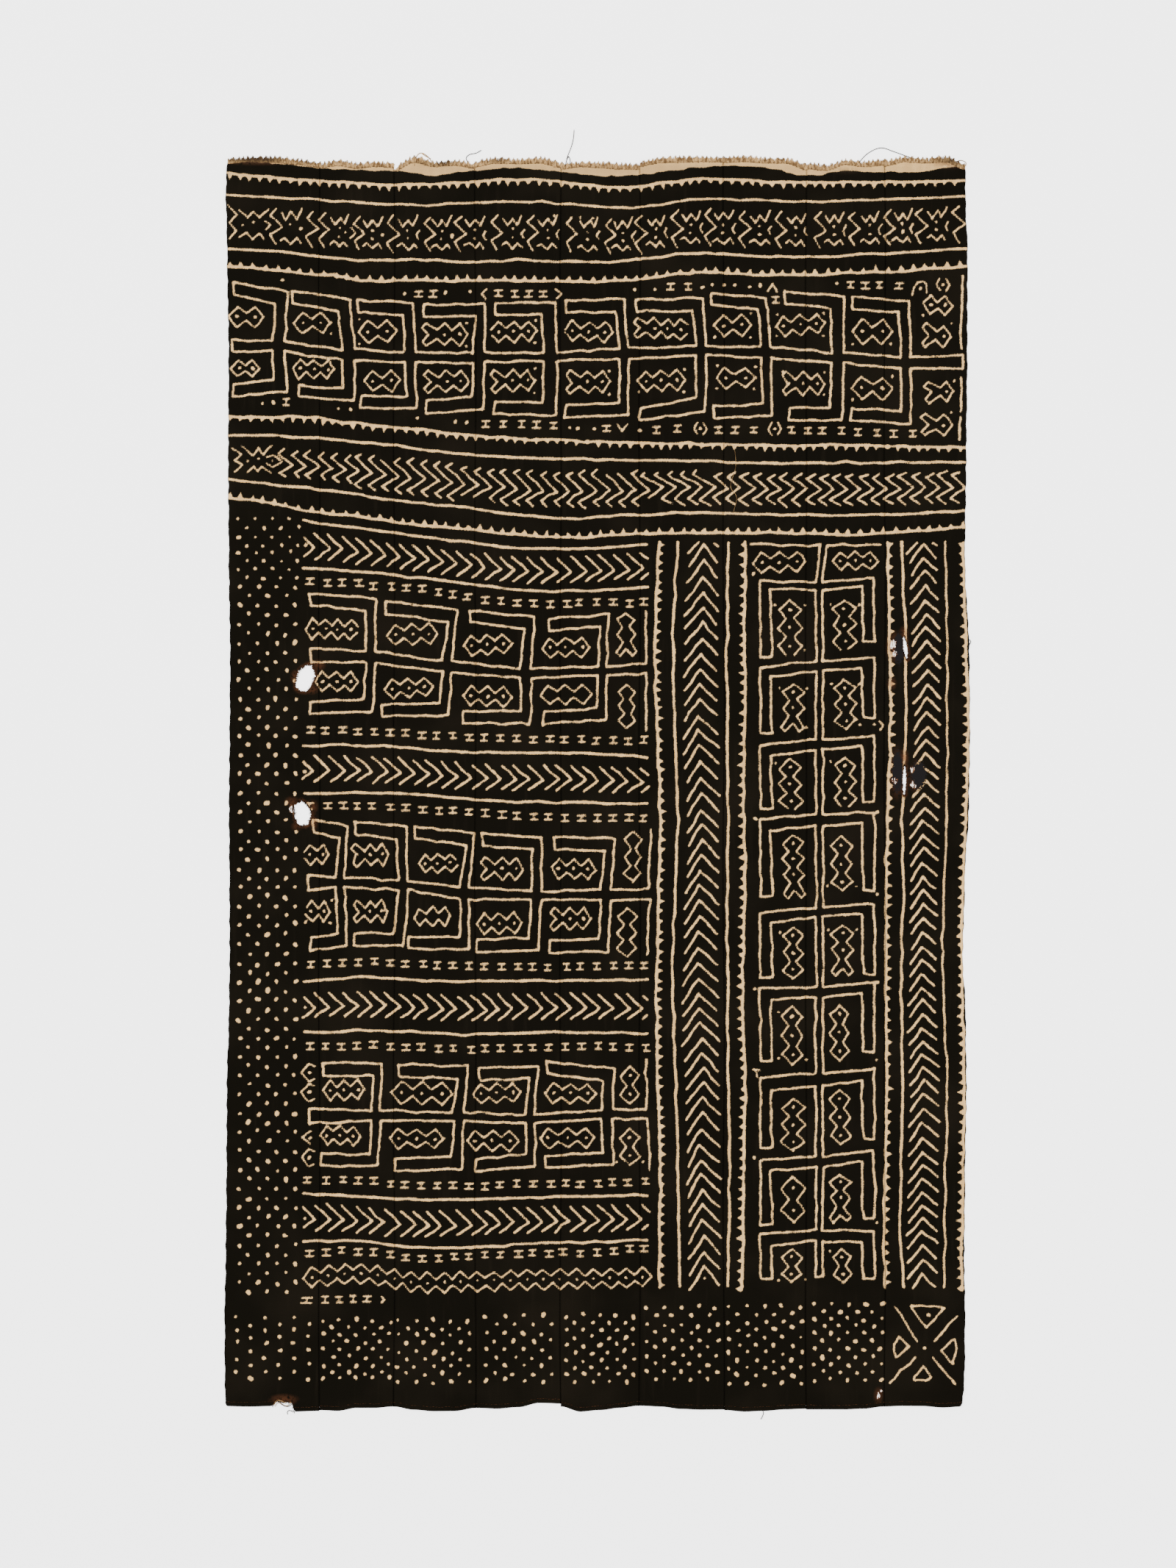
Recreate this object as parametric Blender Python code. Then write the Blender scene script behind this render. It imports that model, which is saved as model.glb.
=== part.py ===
"""Bogolan mud cloth: nine narrow handwoven cotton strips sewn edge to edge, laid flat, face up.

Run with: blender --background --python part.py
Lengths in the tables are millimetres, and the finished objects are in metres. +Z is up and
the cloth lies on z = 0. +Y is the raw edge, -Y is the hemmed edge, and the origin is the
middle of the cloth on the surface that it lies on.
"""
import math

import bmesh
import bpy
from mathutils import geometry

MM = 0.001

# The whole cloth. The strips' widths differ because each was woven by hand.
WIDTH = 912.0
LENGTH = 1538.0
CLOTH_THICK = 1.5
HEM_THICK = 2.6
HEM_WIDE = 6.0
SEAM_GAP = 0.3
STRIP_WIDE = (115.7, 91.6, 99.5, 104.4, 96.8, 103.0, 100.8, 96.3, 103.9)

# A seam wanders a little from a straight line along its length.
SEAM_WANDER = 0.8
SEAM_WAVE_LONG = 410.0

# How far each selvedge lies inside the widest line: place along the cloth from the
# hem (0) to the raw edge (1), then the left and the right selvedge.
SELVEDGE_INSET = (
    # along, left, right
    (0.00, 1.2, 9.6),
    (0.04, 0.4, 6.6),
    (0.08, 0.2, 6.0),
    (0.12, 1.6, 7.2),
    (0.19, 2.6, 6.0),
    (0.26, 3.0, 4.4),
    (0.32, 5.6, 5.4),
    (0.36, 6.4, 9.0),
    (0.43, 6.2, 6.2),
    (0.48, 5.6, 1.4),
    (0.54, 6.4, 0.2),
    (0.60, 7.0, 0.8),
    (0.68, 5.4, 6.2),
    (0.76, 4.6, 4.6),
    (0.84, 5.2, 3.4),
    (0.92, 3.4, 3.0),
    (0.97, 2.0, 5.4),
    (1.00, 3.6, 5.6),
)

# How far each end lies inside the longest line, across one strip from its left seam
# to its right seam, at the quarter points.
RAW_EDGE_INSET = (
    # left, quarter, middle, three quarters, right
    (2.7, 0.2, 0.9, 3.6, 7.0),
    (7.2, 5.4, 9.0, 6.3, 7.4),
    (11.4, 0.9, 6.3, 4.5, 8.1),
    (6.3, 1.8, 2.7, 1.8, 7.2),
    (9.0, 6.3, 7.2, 9.7, 9.9),
    (6.3, 1.8, 0.9, 0.2, 0.4),
    (0.9, 0.2, 1.8, 1.8, 9.9),
    (9.0, 10.6, 3.6, 6.3, 4.5),
    (5.4, 0.3, 1.8, 0.4, 9.5),
)
HEM_INSET = (
    # left, quarter, middle, three quarters, right
    (7.6, 7.0, 7.6, 1.0, 1.8),
    (2.7, 1.8, 5.4, 5.4, 7.2),
    (7.2, 3.6, 1.8, 1.8, 5.4),
    (5.4, 4.5, 6.3, 11.5, 10.8),
    (7.2, 0.9, 2.7, 5.4, 8.1),
    (8.1, 7.2, 4.5, 3.6, 3.6),
    (2.7, 0.9, 1.8, 3.6, 4.5),
    (3.6, 3.6, 3.6, 4.5, 7.2),
    (7.2, 8.1, 8.1, 6.3, 7.5),
)

# A bite out of the hem of strip 1: distance from that strip's left selvedge line, then
# height above the lowest line of the hem.
HEM_BITE = (
    # across, up
    (56.5, 7.4),
    (60.5, 10.8),
    (65.0, 14.2),
    (71.0, 12.2),
    (77.0, 12.6),
    (82.5, 11.4),
    (83.6, 5.5),
    (84.2, 0.4),
)

# Worn holes. Places are from the middle of the cloth, lean turns the long way clockwise from
# +Y, and the two lobes and their turns make the rim uneven.
HOLES = (
    # strip, x, y, half wide, half long, lean, lobe, lobe turn, steps
    (1, -357.6, 129.4, 11.4, 18.0, 24.0, 0.10, 220.0, 20),
    (1, -360.9, -36.0, 10.2, 17.2, -13.0, 0.07, 20.0, 20),
    (9, 377.2, 167.4, 2.3, 14.4, -9.0, 0.05, 90.0, 12),
    (9, 376.2, 4.6, 2.1, 18.4, 2.0, 0.05, 270.0, 12),
)

# Soft ridges where the cloth doesn't lie quite down: middle, heading of the ridge from +X,
# half length, half width and height.
RIDGES = (
    # x, y, heading, half long, half wide, high
    (-300.0, 705.0, 78.0, 170.0, 52.0, 3.2),
    (62.0, 728.0, 102.0, 130.0, 56.0, 3.6),
    (318.0, 640.0, 62.0, 200.0, 50.0, 2.8),
    (-452.0, 742.0, 132.0, 80.0, 50.0, 3.4),
    (-130.0, 300.0, 24.0, 250.0, 58.0, 2.2),
    (405.0, 250.0, 96.0, 190.0, 48.0, 2.6),
    (-402.0, 40.0, 88.0, 210.0, 46.0, 2.6),
    (262.0, -190.0, 100.0, 190.0, 52.0, 2.2),
    (-215.0, -330.0, 150.0, 220.0, 56.0, 2.2),
    (-205.0, -735.0, 84.0, 130.0, 54.0, 3.4),
    (110.0, -748.0, 96.0, 120.0, 56.0, 2.8),
    (430.0, -738.0, 48.0, 110.0, 54.0, 3.6),
)

# How closely the faceted solids follow the cloth.
SIDE_STEPS = 42
END_STEPS = 8
INNER_COLUMNS = 3

CLOTH_COLOUR = (0.012, 0.010, 0.008, 1.0)
CLOTH_ROUGHNESS = 0.95


def smooth(table, place):
    """A rounded curve through a table's evenly or unevenly spaced (place, value) pairs."""
    last = len(table) - 2
    index = max(i for i in range(last + 1) if i == 0 or table[i][0] <= place)
    (a, low), (b, high) = table[index], table[index + 1]
    t = min(1.0, max(0.0, (place - a) / (b - a)))
    return low + (high - low) * t * t * (3.0 - 2.0 * t)


def seam_line(number, y):
    """x of the seam to the left of strip number + 1, at y. 0 and 9 are the selvedges."""
    along = (y + LENGTH / 2) / LENGTH
    if number == 0:
        return -WIDTH / 2 + smooth([(row[0], row[1]) for row in SELVEDGE_INSET], along)
    if number == len(STRIP_WIDE):
        return WIDTH / 2 - smooth([(row[0], row[2]) for row in SELVEDGE_INSET], along)
    straight = -WIDTH / 2 + sum(STRIP_WIDE[:number])
    return straight + SEAM_WANDER * math.sin(2 * math.pi * y / SEAM_WAVE_LONG + 2.1 * number)


def end_line(table, number, share):
    """How far a strip's end lies inside the longest line, at a share of the strip's width."""
    row = table[number - 1]
    return smooth([(i / (len(row) - 1), inset) for i, inset in enumerate(row)], share)


def relief(x, y):
    """Height of the cloth's underside above the surface."""
    high = 0.0
    for middle_x, middle_y, heading, half_long, half_wide, ridge_high in RIDGES:
        cos, sin = math.cos(math.radians(heading)), math.sin(math.radians(heading))
        along = ((x - middle_x) * cos + (y - middle_y) * sin) / half_long
        across = ((y - middle_y) * cos - (x - middle_x) * sin) / half_wide
        if abs(along) < 1.0 and abs(across) < 1.0:
            high = max(high, ridge_high * (1.0 - along ** 2) ** 2 * (1.0 - across ** 2) ** 2)
    return high


def thickness(y):
    """The hem is turned over once, so it is thicker there."""
    past_hem = (y + LENGTH / 2 - 1.6 * HEM_WIDE) / (1.5 * HEM_WIDE)
    t = min(1.0, max(0.0, past_hem))
    return HEM_THICK + (CLOTH_THICK - HEM_THICK) * t * t * (3.0 - 2.0 * t)


def side_points(number, line, inward):
    """Points up one long side of a strip, between its two ends."""
    share = 0.0 if inward > 0 else 1.0
    low = -LENGTH / 2 + end_line(HEM_INSET, number, share)
    high = LENGTH / 2 - end_line(RAW_EDGE_INSET, number, share)
    inner = [-LENGTH / 2 + LENGTH * step / SIDE_STEPS for step in range(1, SIDE_STEPS)]
    return [(seam_line(line, y) + inward * SEAM_GAP / 2, y) for y in [low] + inner + [high]]


def end_points(number, table, sign, left, right):
    """Points across one end of a strip, between its corners, from left to right."""
    points = []
    for step in range(1, END_STEPS):
        share = step / END_STEPS
        x = left[0] + (right[0] - left[0]) * share
        points.append((x, sign * (LENGTH / 2 - end_line(table, number, share))))
    return points


def hem_points(number, left, right):
    """The hem's points from left to right, with the bite out of strip 1."""
    plain = end_points(number, HEM_INSET, -1, left, right)
    if number != 1:
        return plain
    start = -WIDTH / 2
    bite = [(start + across, -LENGTH / 2 + up) for across, up in HEM_BITE]
    before = [point for point in plain if point[0] < bite[0][0] - 4.0]
    after = [point for point in plain if point[0] > bite[-1][0] + 4.0]
    return before + bite + after


def hole_points(x, y, half_wide, half_long, lean, lobe, lobe_turn, steps):
    """The rim of one worn hole."""
    points = []
    for step in range(steps):
        turn = 2 * math.pi * step / steps
        swell = 1.0 + lobe * math.cos(2 * turn - math.radians(lobe_turn))
        swell += 0.6 * lobe * math.cos(5 * turn + math.radians(lobe_turn))
        across = half_wide * swell * math.cos(turn)
        up = half_long * swell * math.sin(turn)
        cos, sin = math.cos(math.radians(lean)), math.sin(math.radians(lean))
        points.append((x + across * cos + up * sin, y + up * cos - across * sin))
    return points


def inner_points(number):
    """Points inside a strip that carry the soft ridges, clear of its holes."""
    points = []
    holes = [row for row in HOLES if row[0] == number]
    for step in range(1, SIDE_STEPS):
        y = -LENGTH / 2 + LENGTH * (step + 0.5 * (number % 2) - 0.25) / SIDE_STEPS
        left, right = seam_line(number - 1, y), seam_line(number, y)
        for column in range(1, INNER_COLUMNS + 1):
            x = left + (right - left) * column / (INNER_COLUMNS + 1)
            if all(math.hypot(x - hole[1], y - hole[2]) > hole[4] + 6.0 for hole in holes):
                points.append((x, y))
    return points


def strip_outline(number):
    """One strip's closed outline, counter-clockwise."""
    left = side_points(number, number - 1, 1)
    right = side_points(number, number, -1)
    hem = hem_points(number, left[0], right[0])
    raw = end_points(number, RAW_EDGE_INSET, 1, left[-1], right[-1])
    return hem + right + raw[::-1] + left[::-1]


def inside(rim, x, y):
    """Whether a point lies inside a closed rim."""
    crossings = 0
    for (x0, y0), (x1, y1) in zip(rim, rim[1:] + rim[:1]):
        if (y0 > y) != (y1 > y) and x < x0 + (x1 - x0) * (y - y0) / (y1 - y0):
            crossings += 1
    return crossings % 2 == 1


def triangulated(number):
    """The strip's flat triangles, with its holes left open."""
    rims = [hole_points(*row[1:]) for row in HOLES if row[0] == number]
    points, edges = [], []
    for loop in [strip_outline(number)] + rims:
        first = len(points)
        points += loop
        edges += [(first + i, first + (i + 1) % len(loop)) for i in range(len(loop))]
    points += inner_points(number)
    inside_outline = 1
    result = geometry.delaunay_2d_cdt(points, edges, [], inside_outline, 0.001)
    corners, faces = result[0], []
    for face in result[2]:
        middle_x = sum(corners[i][0] for i in face) / len(face)
        middle_y = sum(corners[i][1] for i in face) / len(face)
        if not any(inside(rim, middle_x, middle_y) for rim in rims):
            faces.append(face)
    return corners, faces


def strip_material(number):
    """Cotton dyed nearly black with river mud."""
    material = bpy.data.materials.new(f"dyed_cotton_{number}")
    material.use_nodes = True
    shader = material.node_tree.nodes["Principled BSDF"]
    shader.inputs["Base Color"].default_value = CLOTH_COLOUR
    shader.inputs["Roughness"].default_value = CLOTH_ROUGHNESS
    shader.inputs["Metallic"].default_value = 0.0
    material.diffuse_color = CLOTH_COLOUR
    return material


def make_strip(number):
    """One woven strip as a closed sheet of its real thickness."""
    corners, faces = triangulated(number)
    bm = bmesh.new()
    under = [bm.verts.new((x * MM, y * MM, relief(x, y) * MM)) for x, y in corners]
    sheet = [bm.faces.new([under[i] for i in face]) for face in faces]
    raised = bmesh.ops.extrude_face_region(bm, geom=sheet)["geom"]
    for vert in raised:
        if isinstance(vert, bmesh.types.BMVert):
            vert.co.z += thickness(vert.co.y / MM) * MM
    bmesh.ops.recalc_face_normals(bm, faces=bm.faces)
    mesh = bpy.data.meshes.new(f"strip_{number}")
    bm.to_mesh(mesh)
    bm.free()
    strip = bpy.data.objects.new(f"strip_{number}", mesh)
    strip.data.materials.append(strip_material(number))
    bpy.context.scene.collection.objects.link(strip)


def main():
    for old in list(bpy.data.objects):
        bpy.data.objects.remove(old)
    for number in range(1, len(STRIP_WIDE) + 1):
        make_strip(number)


main()
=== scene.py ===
"""Looks of the bogolan mud cloth: its painted pattern, worn edges, seams, frayed ends and threads."""
import math

import bpy
import numpy as np
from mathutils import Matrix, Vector, geometry


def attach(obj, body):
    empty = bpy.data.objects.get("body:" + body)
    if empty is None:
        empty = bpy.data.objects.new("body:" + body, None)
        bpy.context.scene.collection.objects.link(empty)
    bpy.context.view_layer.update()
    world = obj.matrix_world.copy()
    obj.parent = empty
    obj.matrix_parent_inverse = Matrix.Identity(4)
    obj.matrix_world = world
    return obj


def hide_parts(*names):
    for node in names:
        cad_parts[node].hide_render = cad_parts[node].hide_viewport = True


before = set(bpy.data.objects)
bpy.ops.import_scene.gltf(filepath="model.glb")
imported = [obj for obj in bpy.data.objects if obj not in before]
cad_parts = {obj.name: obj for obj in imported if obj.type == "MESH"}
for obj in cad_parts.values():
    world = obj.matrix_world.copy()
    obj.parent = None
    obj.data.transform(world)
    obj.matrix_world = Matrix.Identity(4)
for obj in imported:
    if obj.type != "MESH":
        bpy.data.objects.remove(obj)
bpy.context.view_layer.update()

MM = 0.001

# The painted pattern is laid out in pixels of the 1600 by 2133 photograph, x to the right and
# y down. PX is what one pixel measures on the cloth, in millimetres.
PX = 0.9
PHOTO_WIDE = 1600
PHOTO_HIGH = 2133
CLOTH_MIDDLE_X = 812.5
CLOTH_MIDDLE_Y = 1067.0

# The cloth, in millimetres. The sizes and tables are those of the part's solids, apart from the
# first two holes, which are a little smaller here to leave room for their frayed rims.
WIDTH = 912.0
LENGTH = 1538.0
CLOTH_THICK = 1.5
HEM_THICK = 2.6
HEM_WIDE = 6.0
STRIP_WIDE = (115.7, 91.6, 99.5, 104.4, 96.8, 103.0, 100.8, 96.3, 103.9)
SEAM_WANDER = 0.8
SEAM_WAVE_LONG = 410.0
SELVEDGE_INSET = (
    # along, left, right
    (0.00, 1.2, 9.6),
    (0.04, 0.4, 6.6),
    (0.08, 0.2, 6.0),
    (0.12, 1.6, 7.2),
    (0.19, 2.6, 6.0),
    (0.26, 3.0, 4.4),
    (0.32, 5.6, 5.4),
    (0.36, 6.4, 9.0),
    (0.43, 6.2, 6.2),
    (0.48, 5.6, 1.4),
    (0.54, 6.4, 0.2),
    (0.60, 7.0, 0.8),
    (0.68, 5.4, 6.2),
    (0.76, 4.6, 4.6),
    (0.84, 5.2, 3.4),
    (0.92, 3.4, 3.0),
    (0.97, 2.0, 5.4),
    (1.00, 3.6, 5.6),
)
RAW_EDGE_INSET = (
    # left, quarter, middle, three quarters, right
    (2.7, 0.2, 0.9, 3.6, 7.0),
    (7.2, 5.4, 9.0, 6.3, 7.4),
    (11.4, 0.9, 6.3, 4.5, 8.1),
    (6.3, 1.8, 2.7, 1.8, 7.2),
    (9.0, 6.3, 7.2, 9.7, 9.9),
    (6.3, 1.8, 0.9, 0.2, 0.4),
    (0.9, 0.2, 1.8, 1.8, 9.9),
    (9.0, 10.6, 3.6, 6.3, 4.5),
    (5.4, 0.3, 1.8, 0.4, 9.5),
)
HEM_INSET = (
    # left, quarter, middle, three quarters, right
    (7.6, 7.0, 7.6, 1.0, 1.8),
    (2.7, 1.8, 5.4, 5.4, 7.2),
    (7.2, 3.6, 1.8, 1.8, 5.4),
    (5.4, 4.5, 6.3, 11.5, 10.8),
    (7.2, 0.9, 2.7, 5.4, 8.1),
    (8.1, 7.2, 4.5, 3.6, 3.6),
    (2.7, 0.9, 1.8, 3.6, 4.5),
    (3.6, 3.6, 3.6, 4.5, 7.2),
    (7.2, 8.1, 8.1, 6.3, 7.5),
)
HEM_BITE = (
    # across, up
    (56.5, 7.4),
    (60.5, 10.8),
    (65.0, 14.2),
    (71.0, 12.2),
    (77.0, 12.6),
    (82.5, 11.4),
    (83.6, 5.5),
    (84.2, 0.4),
)
HOLES = (
    # strip, x, y, half wide, half long, lean, lobe, lobe turn
    (1, -357.6, 129.8, 11.6, 16.0, 26.0, 0.08, 220.0),
    (1, -361.2, -36.0, 9.5, 16.4, -15.0, 0.07, 20.0),
    (9, 377.2, 167.4, 2.3, 14.4, -9.0, 0.05, 90.0),
    (9, 376.2, 4.6, 2.1, 18.4, 2.0, 0.05, 270.0),
)
RIDGES = (
    # x, y, heading, half long, half wide, high
    (-300.0, 705.0, 78.0, 170.0, 52.0, 3.2),
    (62.0, 728.0, 102.0, 130.0, 56.0, 3.6),
    (318.0, 640.0, 62.0, 200.0, 50.0, 2.8),
    (-452.0, 742.0, 132.0, 80.0, 50.0, 3.4),
    (-130.0, 300.0, 24.0, 250.0, 58.0, 2.2),
    (405.0, 250.0, 96.0, 190.0, 48.0, 2.6),
    (-402.0, 40.0, 88.0, 210.0, 46.0, 2.6),
    (262.0, -190.0, 100.0, 190.0, 52.0, 2.2),
    (-215.0, -330.0, 150.0, 220.0, 56.0, 2.2),
    (-205.0, -735.0, 84.0, 130.0, 54.0, 3.4),
    (110.0, -748.0, 96.0, 120.0, 56.0, 2.8),
    (430.0, -738.0, 48.0, 110.0, 54.0, 3.6),
)

# Meshes, in millimetres.
FACE_STEP = 2.0
UNDER_STEP = 6.0
UNDER_GAP = 2.2
EDGE_BLEND = 26.0
EDGE_ROWS = 3
RIM_STEPS = 72
RIM_GAP = 0.9
RIM_BROWN = 3.2
CORNER_ROUND = 4.0
PUCKER = 0.30
# Height of a strip's edge as a share of the cloth's thickness: at the seams, and elsewhere.
SEAM_SINK = 0.97
EDGE_SINK = 0.45

# Half widths of the painted strokes, in pixels.
LINE_HALF = 2.28
HOOK_HALF = 2.05
CHEVRON_HALF = 2.05
ZIGZAG_HALF = 1.75
LOZENGE_HALF = 1.75
BAR_HALF = 1.85
STAR_HALF = 1.9
TOOTH_ROOT_HALF = 4.0
TOOTH_TIP_HALF = 1.1
SERIF_HALF = 1.08 * ZIGZAG_HALF
DOT_HALF = 2.85
CROWN_DOT_HALF = 2.1
SMALL_DOT_HALF = 2.0
BROAD_DOT_HALF = 2.6

# Shortest and longest tooth, and the half width and half height of a bar.
TOOTH_LONG = (4.2, 6.4)
BAR_WIDE = (4.0, 5.6)
BAR_TALL = (3.4, 4.3)

# Lines drawn finer than the rest.
FINE_LINES = {"line_b": 2.1, "line_d": 2.2, "line_7": 1.95}

# Painted lines right across the cloth, top to bottom: y at each station of x.
WIDE_X = (306, 360, 430, 490, 560, 620, 690, 770, 850, 950, 1050, 1180, 1319)
WIDE_Y = {
    "comb_a": (236.5, 240.5, 245.5, 250.5, 251, 249.5, 244, 248.5, 255, 243.5, 247.5, 248, 245),
    "line_b": (265.5, 269, 272, 276.5, 279, 278, 274, 277, 283, 270.5, 273.5, 272.5, 266.5),
    "line_d": (337.5, 341, 348, 355, 353, 355.5, 354.5, 356, 354.5, 344, 349, 346.5, 337),
    "comb_e": (362, 366, 373.5, 381.5, 381, 382, 381.5, 383, 381.5, 371, 374, 371, 361.5),
    "comb_f": (565.5, 567, 569, 577.5, 583, 590.5, 595, 598, 602.5, 603, 606, 606, 609),
    "line_g": (591, 592, 596.5, 602, 609, 616.5, 621.5, 624, 626, 627, 630, 629.5, 629),
    "line_i": (651, 657.5, 665, 673, 683, 689, 698.5, 705, 701, 697.5, 700, 700.5, 695.5),
    "comb_j": (676, 684, 696.5, 703, 713, 718.5, 726, 731.5, 727, 725, 725, 726, 717.5),
}
WIDE_COMBS = (
    # comb, way that the teeth point, their pitch
    ("comb_a", 1, 13.6),
    ("comb_e", -1, 15.5),
    ("comb_f", 1, 14.0),
    ("comb_j", -1, 15.5),
)
WIDE_LEFT = 307.0
WIDE_RIGHT = 1317.0

# Rows of the middle panel: y at each station of x.
PANEL_X = (413, 490, 560, 640, 720, 800, 885)
PANEL_LINES = {
    "line_k": (708.5, 718.5, 728.5, 738, 746.5, 746, 741.5),
    "line_l": (772, 777.5, 784.5, 795, 804, 803.5, 798.5),
    "line_n": (1014.5, 1014, 1018, 1023, 1024, 1025, 1030.5),
    "line_p": (1079, 1078, 1080, 1087.5, 1091.5, 1092, 1092.5),
    "line_q": (1335.5, 1329.5, 1332.5, 1335, 1334, 1334, 1332),
    "line_r": (1404.5, 1402, 1403.5, 1407.5, 1404.5, 1404, 1406.5),
    "line_s": (1623, 1627.5, 1632, 1631, 1628.5, 1627.5, 1625.5),
    "line_t": (1688.5, 1688.5, 1696.5, 1696, 1690.5, 1689, 1686),
}
PANEL_BARS = (
    (792, 795, 801, 812, 822, 820, 819),
    (993, 994, 998, 1003, 1005.5, 1006, 1007.5),
    (1097, 1096, 1100, 1105, 1111, 1113, 1112),
    (1313, 1309, 1311, 1314.5, 1316, 1314, 1315),
    (1424, 1422, 1424, 1427, 1425, 1424, 1426.5),
    (1605.5, 1606.5, 1612, 1613, 1610.5, 1610, 1608),
    (1704, 1702, 1711, 1708.5, 1704.5, 1704, 1698),
)
PANEL_CHEVRONS = (("line_k", "line_l"), ("line_n", "line_p"), ("line_q", "line_r"), ("line_s", "line_t"))
PANEL_LEFT = 413.0
PANEL_RIGHT = 884.0
CHEVRON_PITCH = 19.2
BAR_PITCH = 21.7
LOZENGE_ROW = (1738.5, 1732.5, 1744, 1743.5, 1740.5, 1739.5, 1737)
LOZENGE_ROW_PITCH = 22.0
LOZENGE_ROW_RISE = 14.0
LOZENGE_ROW_WAIST = 4.4

# Upright lines of the right-hand side: x at each station of y.
UPRIGHT_Y = (737, 860, 980, 1100, 1220, 1340, 1460, 1580, 1680, 1756)
UPRIGHT_COMBS = {
    # side that the teeth point to, their pitch, x at each station
    "comb_1": (1, 13.4, (896.5, 891, 893.5, 898, 896, 894, 894, 898, 897, 897)),
    "comb_4": (-1, 14.0, (1014, 1013, 1013.5, 1012, 1013.5, 1010, 1013.5, 1012.5, 1011, 1009)),
    "comb_5": (1, 14.2, (1208, 1210, 1211, 1208, 1205.5, 1205, 1206, 1205, 1203, 1204)),
    "comb_8": (-1, 13.8, (1311, 1314, 1317.5, 1314.5, 1310, 1309.5, 1311.5, 1310.5, 1309, 1310)),
}
UPRIGHT_LINES = {
    "line_2": (922, 916, 917, 922, 918.5, 915, 918.5, 922.5, 924, 925),
    "line_3": (989.5, 988.5, 989.5, 990.5, 989.5, 989.5, 991, 992.5, 992, 989.5),
    "line_6": (1226.5, 1231.5, 1233, 1228, 1228.5, 1226.5, 1227.5, 1226, 1224.5, 1229.5),
    "line_7": (1285.5, 1288.5, 1289, 1287.5, 1284.5, 1283, 1288, 1287, 1285, 1284.5),
}
# What shows of the arms of a chevron that is cut off at the columns' tops.
CUT_ARMS = (((-22, 16), (-8, 1)), ((13, 1), (19, 6)))
UPRIGHT_CHEVRONS = (
    # pitch, the lines on both sides, how far the arms stay off them, how far the arms drop,
    # whether a dot ends the column, apex x at each station
    (20.9, ("line_2", "line_3"), (14, 13), (31, 24.5), True,
     (958.5, 956, 951, 955, 951, 950.5, 956.5, 953, 957, 959)),
    (18.8, ("line_6", "line_7"), (11, 11), (24, 17), False,
     (1256, 1261, 1260, 1257, 1256.5, 1254, 1255.5, 1254.5, 1255.5, 1254)),
)

# Hooked bands. A dark trunk carries branches, and each ends in a head turned to the left.
# The pale line runs round them. Columns: branch's left and right side at the trunk, the tip of
# the upper and of the lower head, the upper head's top at its tip and at the branch, the
# trunk's upper and lower line, the lower head's foot at its tip and at the branch, and how far
# the branch leans to the right on its way up and on its way down.
HOOKS_TOP = (
    (371, 387, 318, 317, 384, 397, 465, 477, 539, 533, 5, 3),
    (467, 482, 398, 406, 396, 407, 475, 490, 540, 545, -6, 1),
    (552, 565, 486, 490, 408, 412, 480, 493, 555, 556, -3, 2),
    (645, 659, 577, 579, 414, 414, 480, 493, 562, 557, 2, -2),
    (741, 758, 673, 672, 412, 412, 480, 491, 563, 565, -3, -1),
    (844, 855, 769, 768, 409, 408, 474, 488, 568, 564, -5, 0),
    (948, 961, 866, 870, 408, 406, 471, 483, 572, 559, -5, -1),
    (1037, 1048, 967, 970, 399, 405, 472, 487, 569, 566, -5, 2),
    (1132, 1148, 1067, 1073, 396, 404, 480, 494, 571, 572, 0, -2),
    (1227, 1239, 1160, 1158, 404, 409, 486, 501, 572, 576, -3, 0),
)
HOOKS_ONE = (
    (499, 511, 421, 421, 807, 815, 887, 902, 971, 968, 0, -4),
    (603, 614, 524, 519, 819, 829, 900, 914, 975, 973, 8, -4),
    (709, 722, 638, 629, 831, 839, 910, 923, 984, 984, 5, 0),
    (814, 825, 747, 738, 842, 836, 907, 919, 985, 979, 3, -1),
)
HOOKS_TWO = (
    (458, 469, 426, 422, 1116, 1123, 1194, 1207, 1293, 1286, 4, 3),
    (543, 555, 482, 481, 1118, 1124, 1198, 1211, 1286, 1286, -3, -6),
    (627, 638, 564, 555, 1124, 1133, 1207, 1223, 1291, 1291, 8, 0),
    (724, 736, 656, 649, 1134, 1139, 1213, 1224, 1295, 1293, 1, -4),
    (818, 831, 754, 747, 1139, 1141, 1210, 1224, 1296, 1294, 6, -3),
)
HOOKS_THREE = (
    (506, 517, 438, 436, 1446, 1447, 1511, 1524, 1586, 1587, 3, -2),
    (618, 631, 542, 536, 1448, 1450, 1514, 1525, 1593, 1590, 6, -3),
    (716, 727, 651, 647, 1453, 1450, 1516, 1527, 1594, 1586, 5, 1),
    (820, 833, 744, 741, 1444, 1454, 1510, 1522, 1589, 1584, 2, 1),
)
HEAD_DEEP = 16.5
# Columns for the upper and the lower line: tip, heights at the tip and the branch, trunk, lean.
HOOK_COLUMNS = {True: (2, 4, 5, 6, 10), False: (3, 8, 9, 7, 11)}
HOOK_BANDS = (
    # hooks, start and end of the upper line, start and end of the lower line
    (HOOKS_TOP, ((316, 478), (315, 462)), ((1311, 483), (1310, 502)),
     ((316, 478),), ((1310, 502),)),
    (HOOKS_ONE, ((424, 901), (421, 882)), ((879, 903), (878, 831)),
     ((424, 901),), ((879, 916), (879, 995))),
    (HOOKS_TWO, ((420, 1211), (418, 1191)), ((882, 1209), (886, 1128)),
     ((420, 1211),), ((884, 1224), (880, 1299))),
    (HOOKS_THREE, ((421, 1528), (419, 1508)), ((879, 1509), (879, 1442)),
     ((421, 1528),), ((881, 1522), (884, 1592))),
)
# Bars that close the top band's right end: x, top and foot.
HOOK_END_BARS = ((1309, 376, 474), (1308, 514, 560), (1307, 566, 598))

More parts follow.
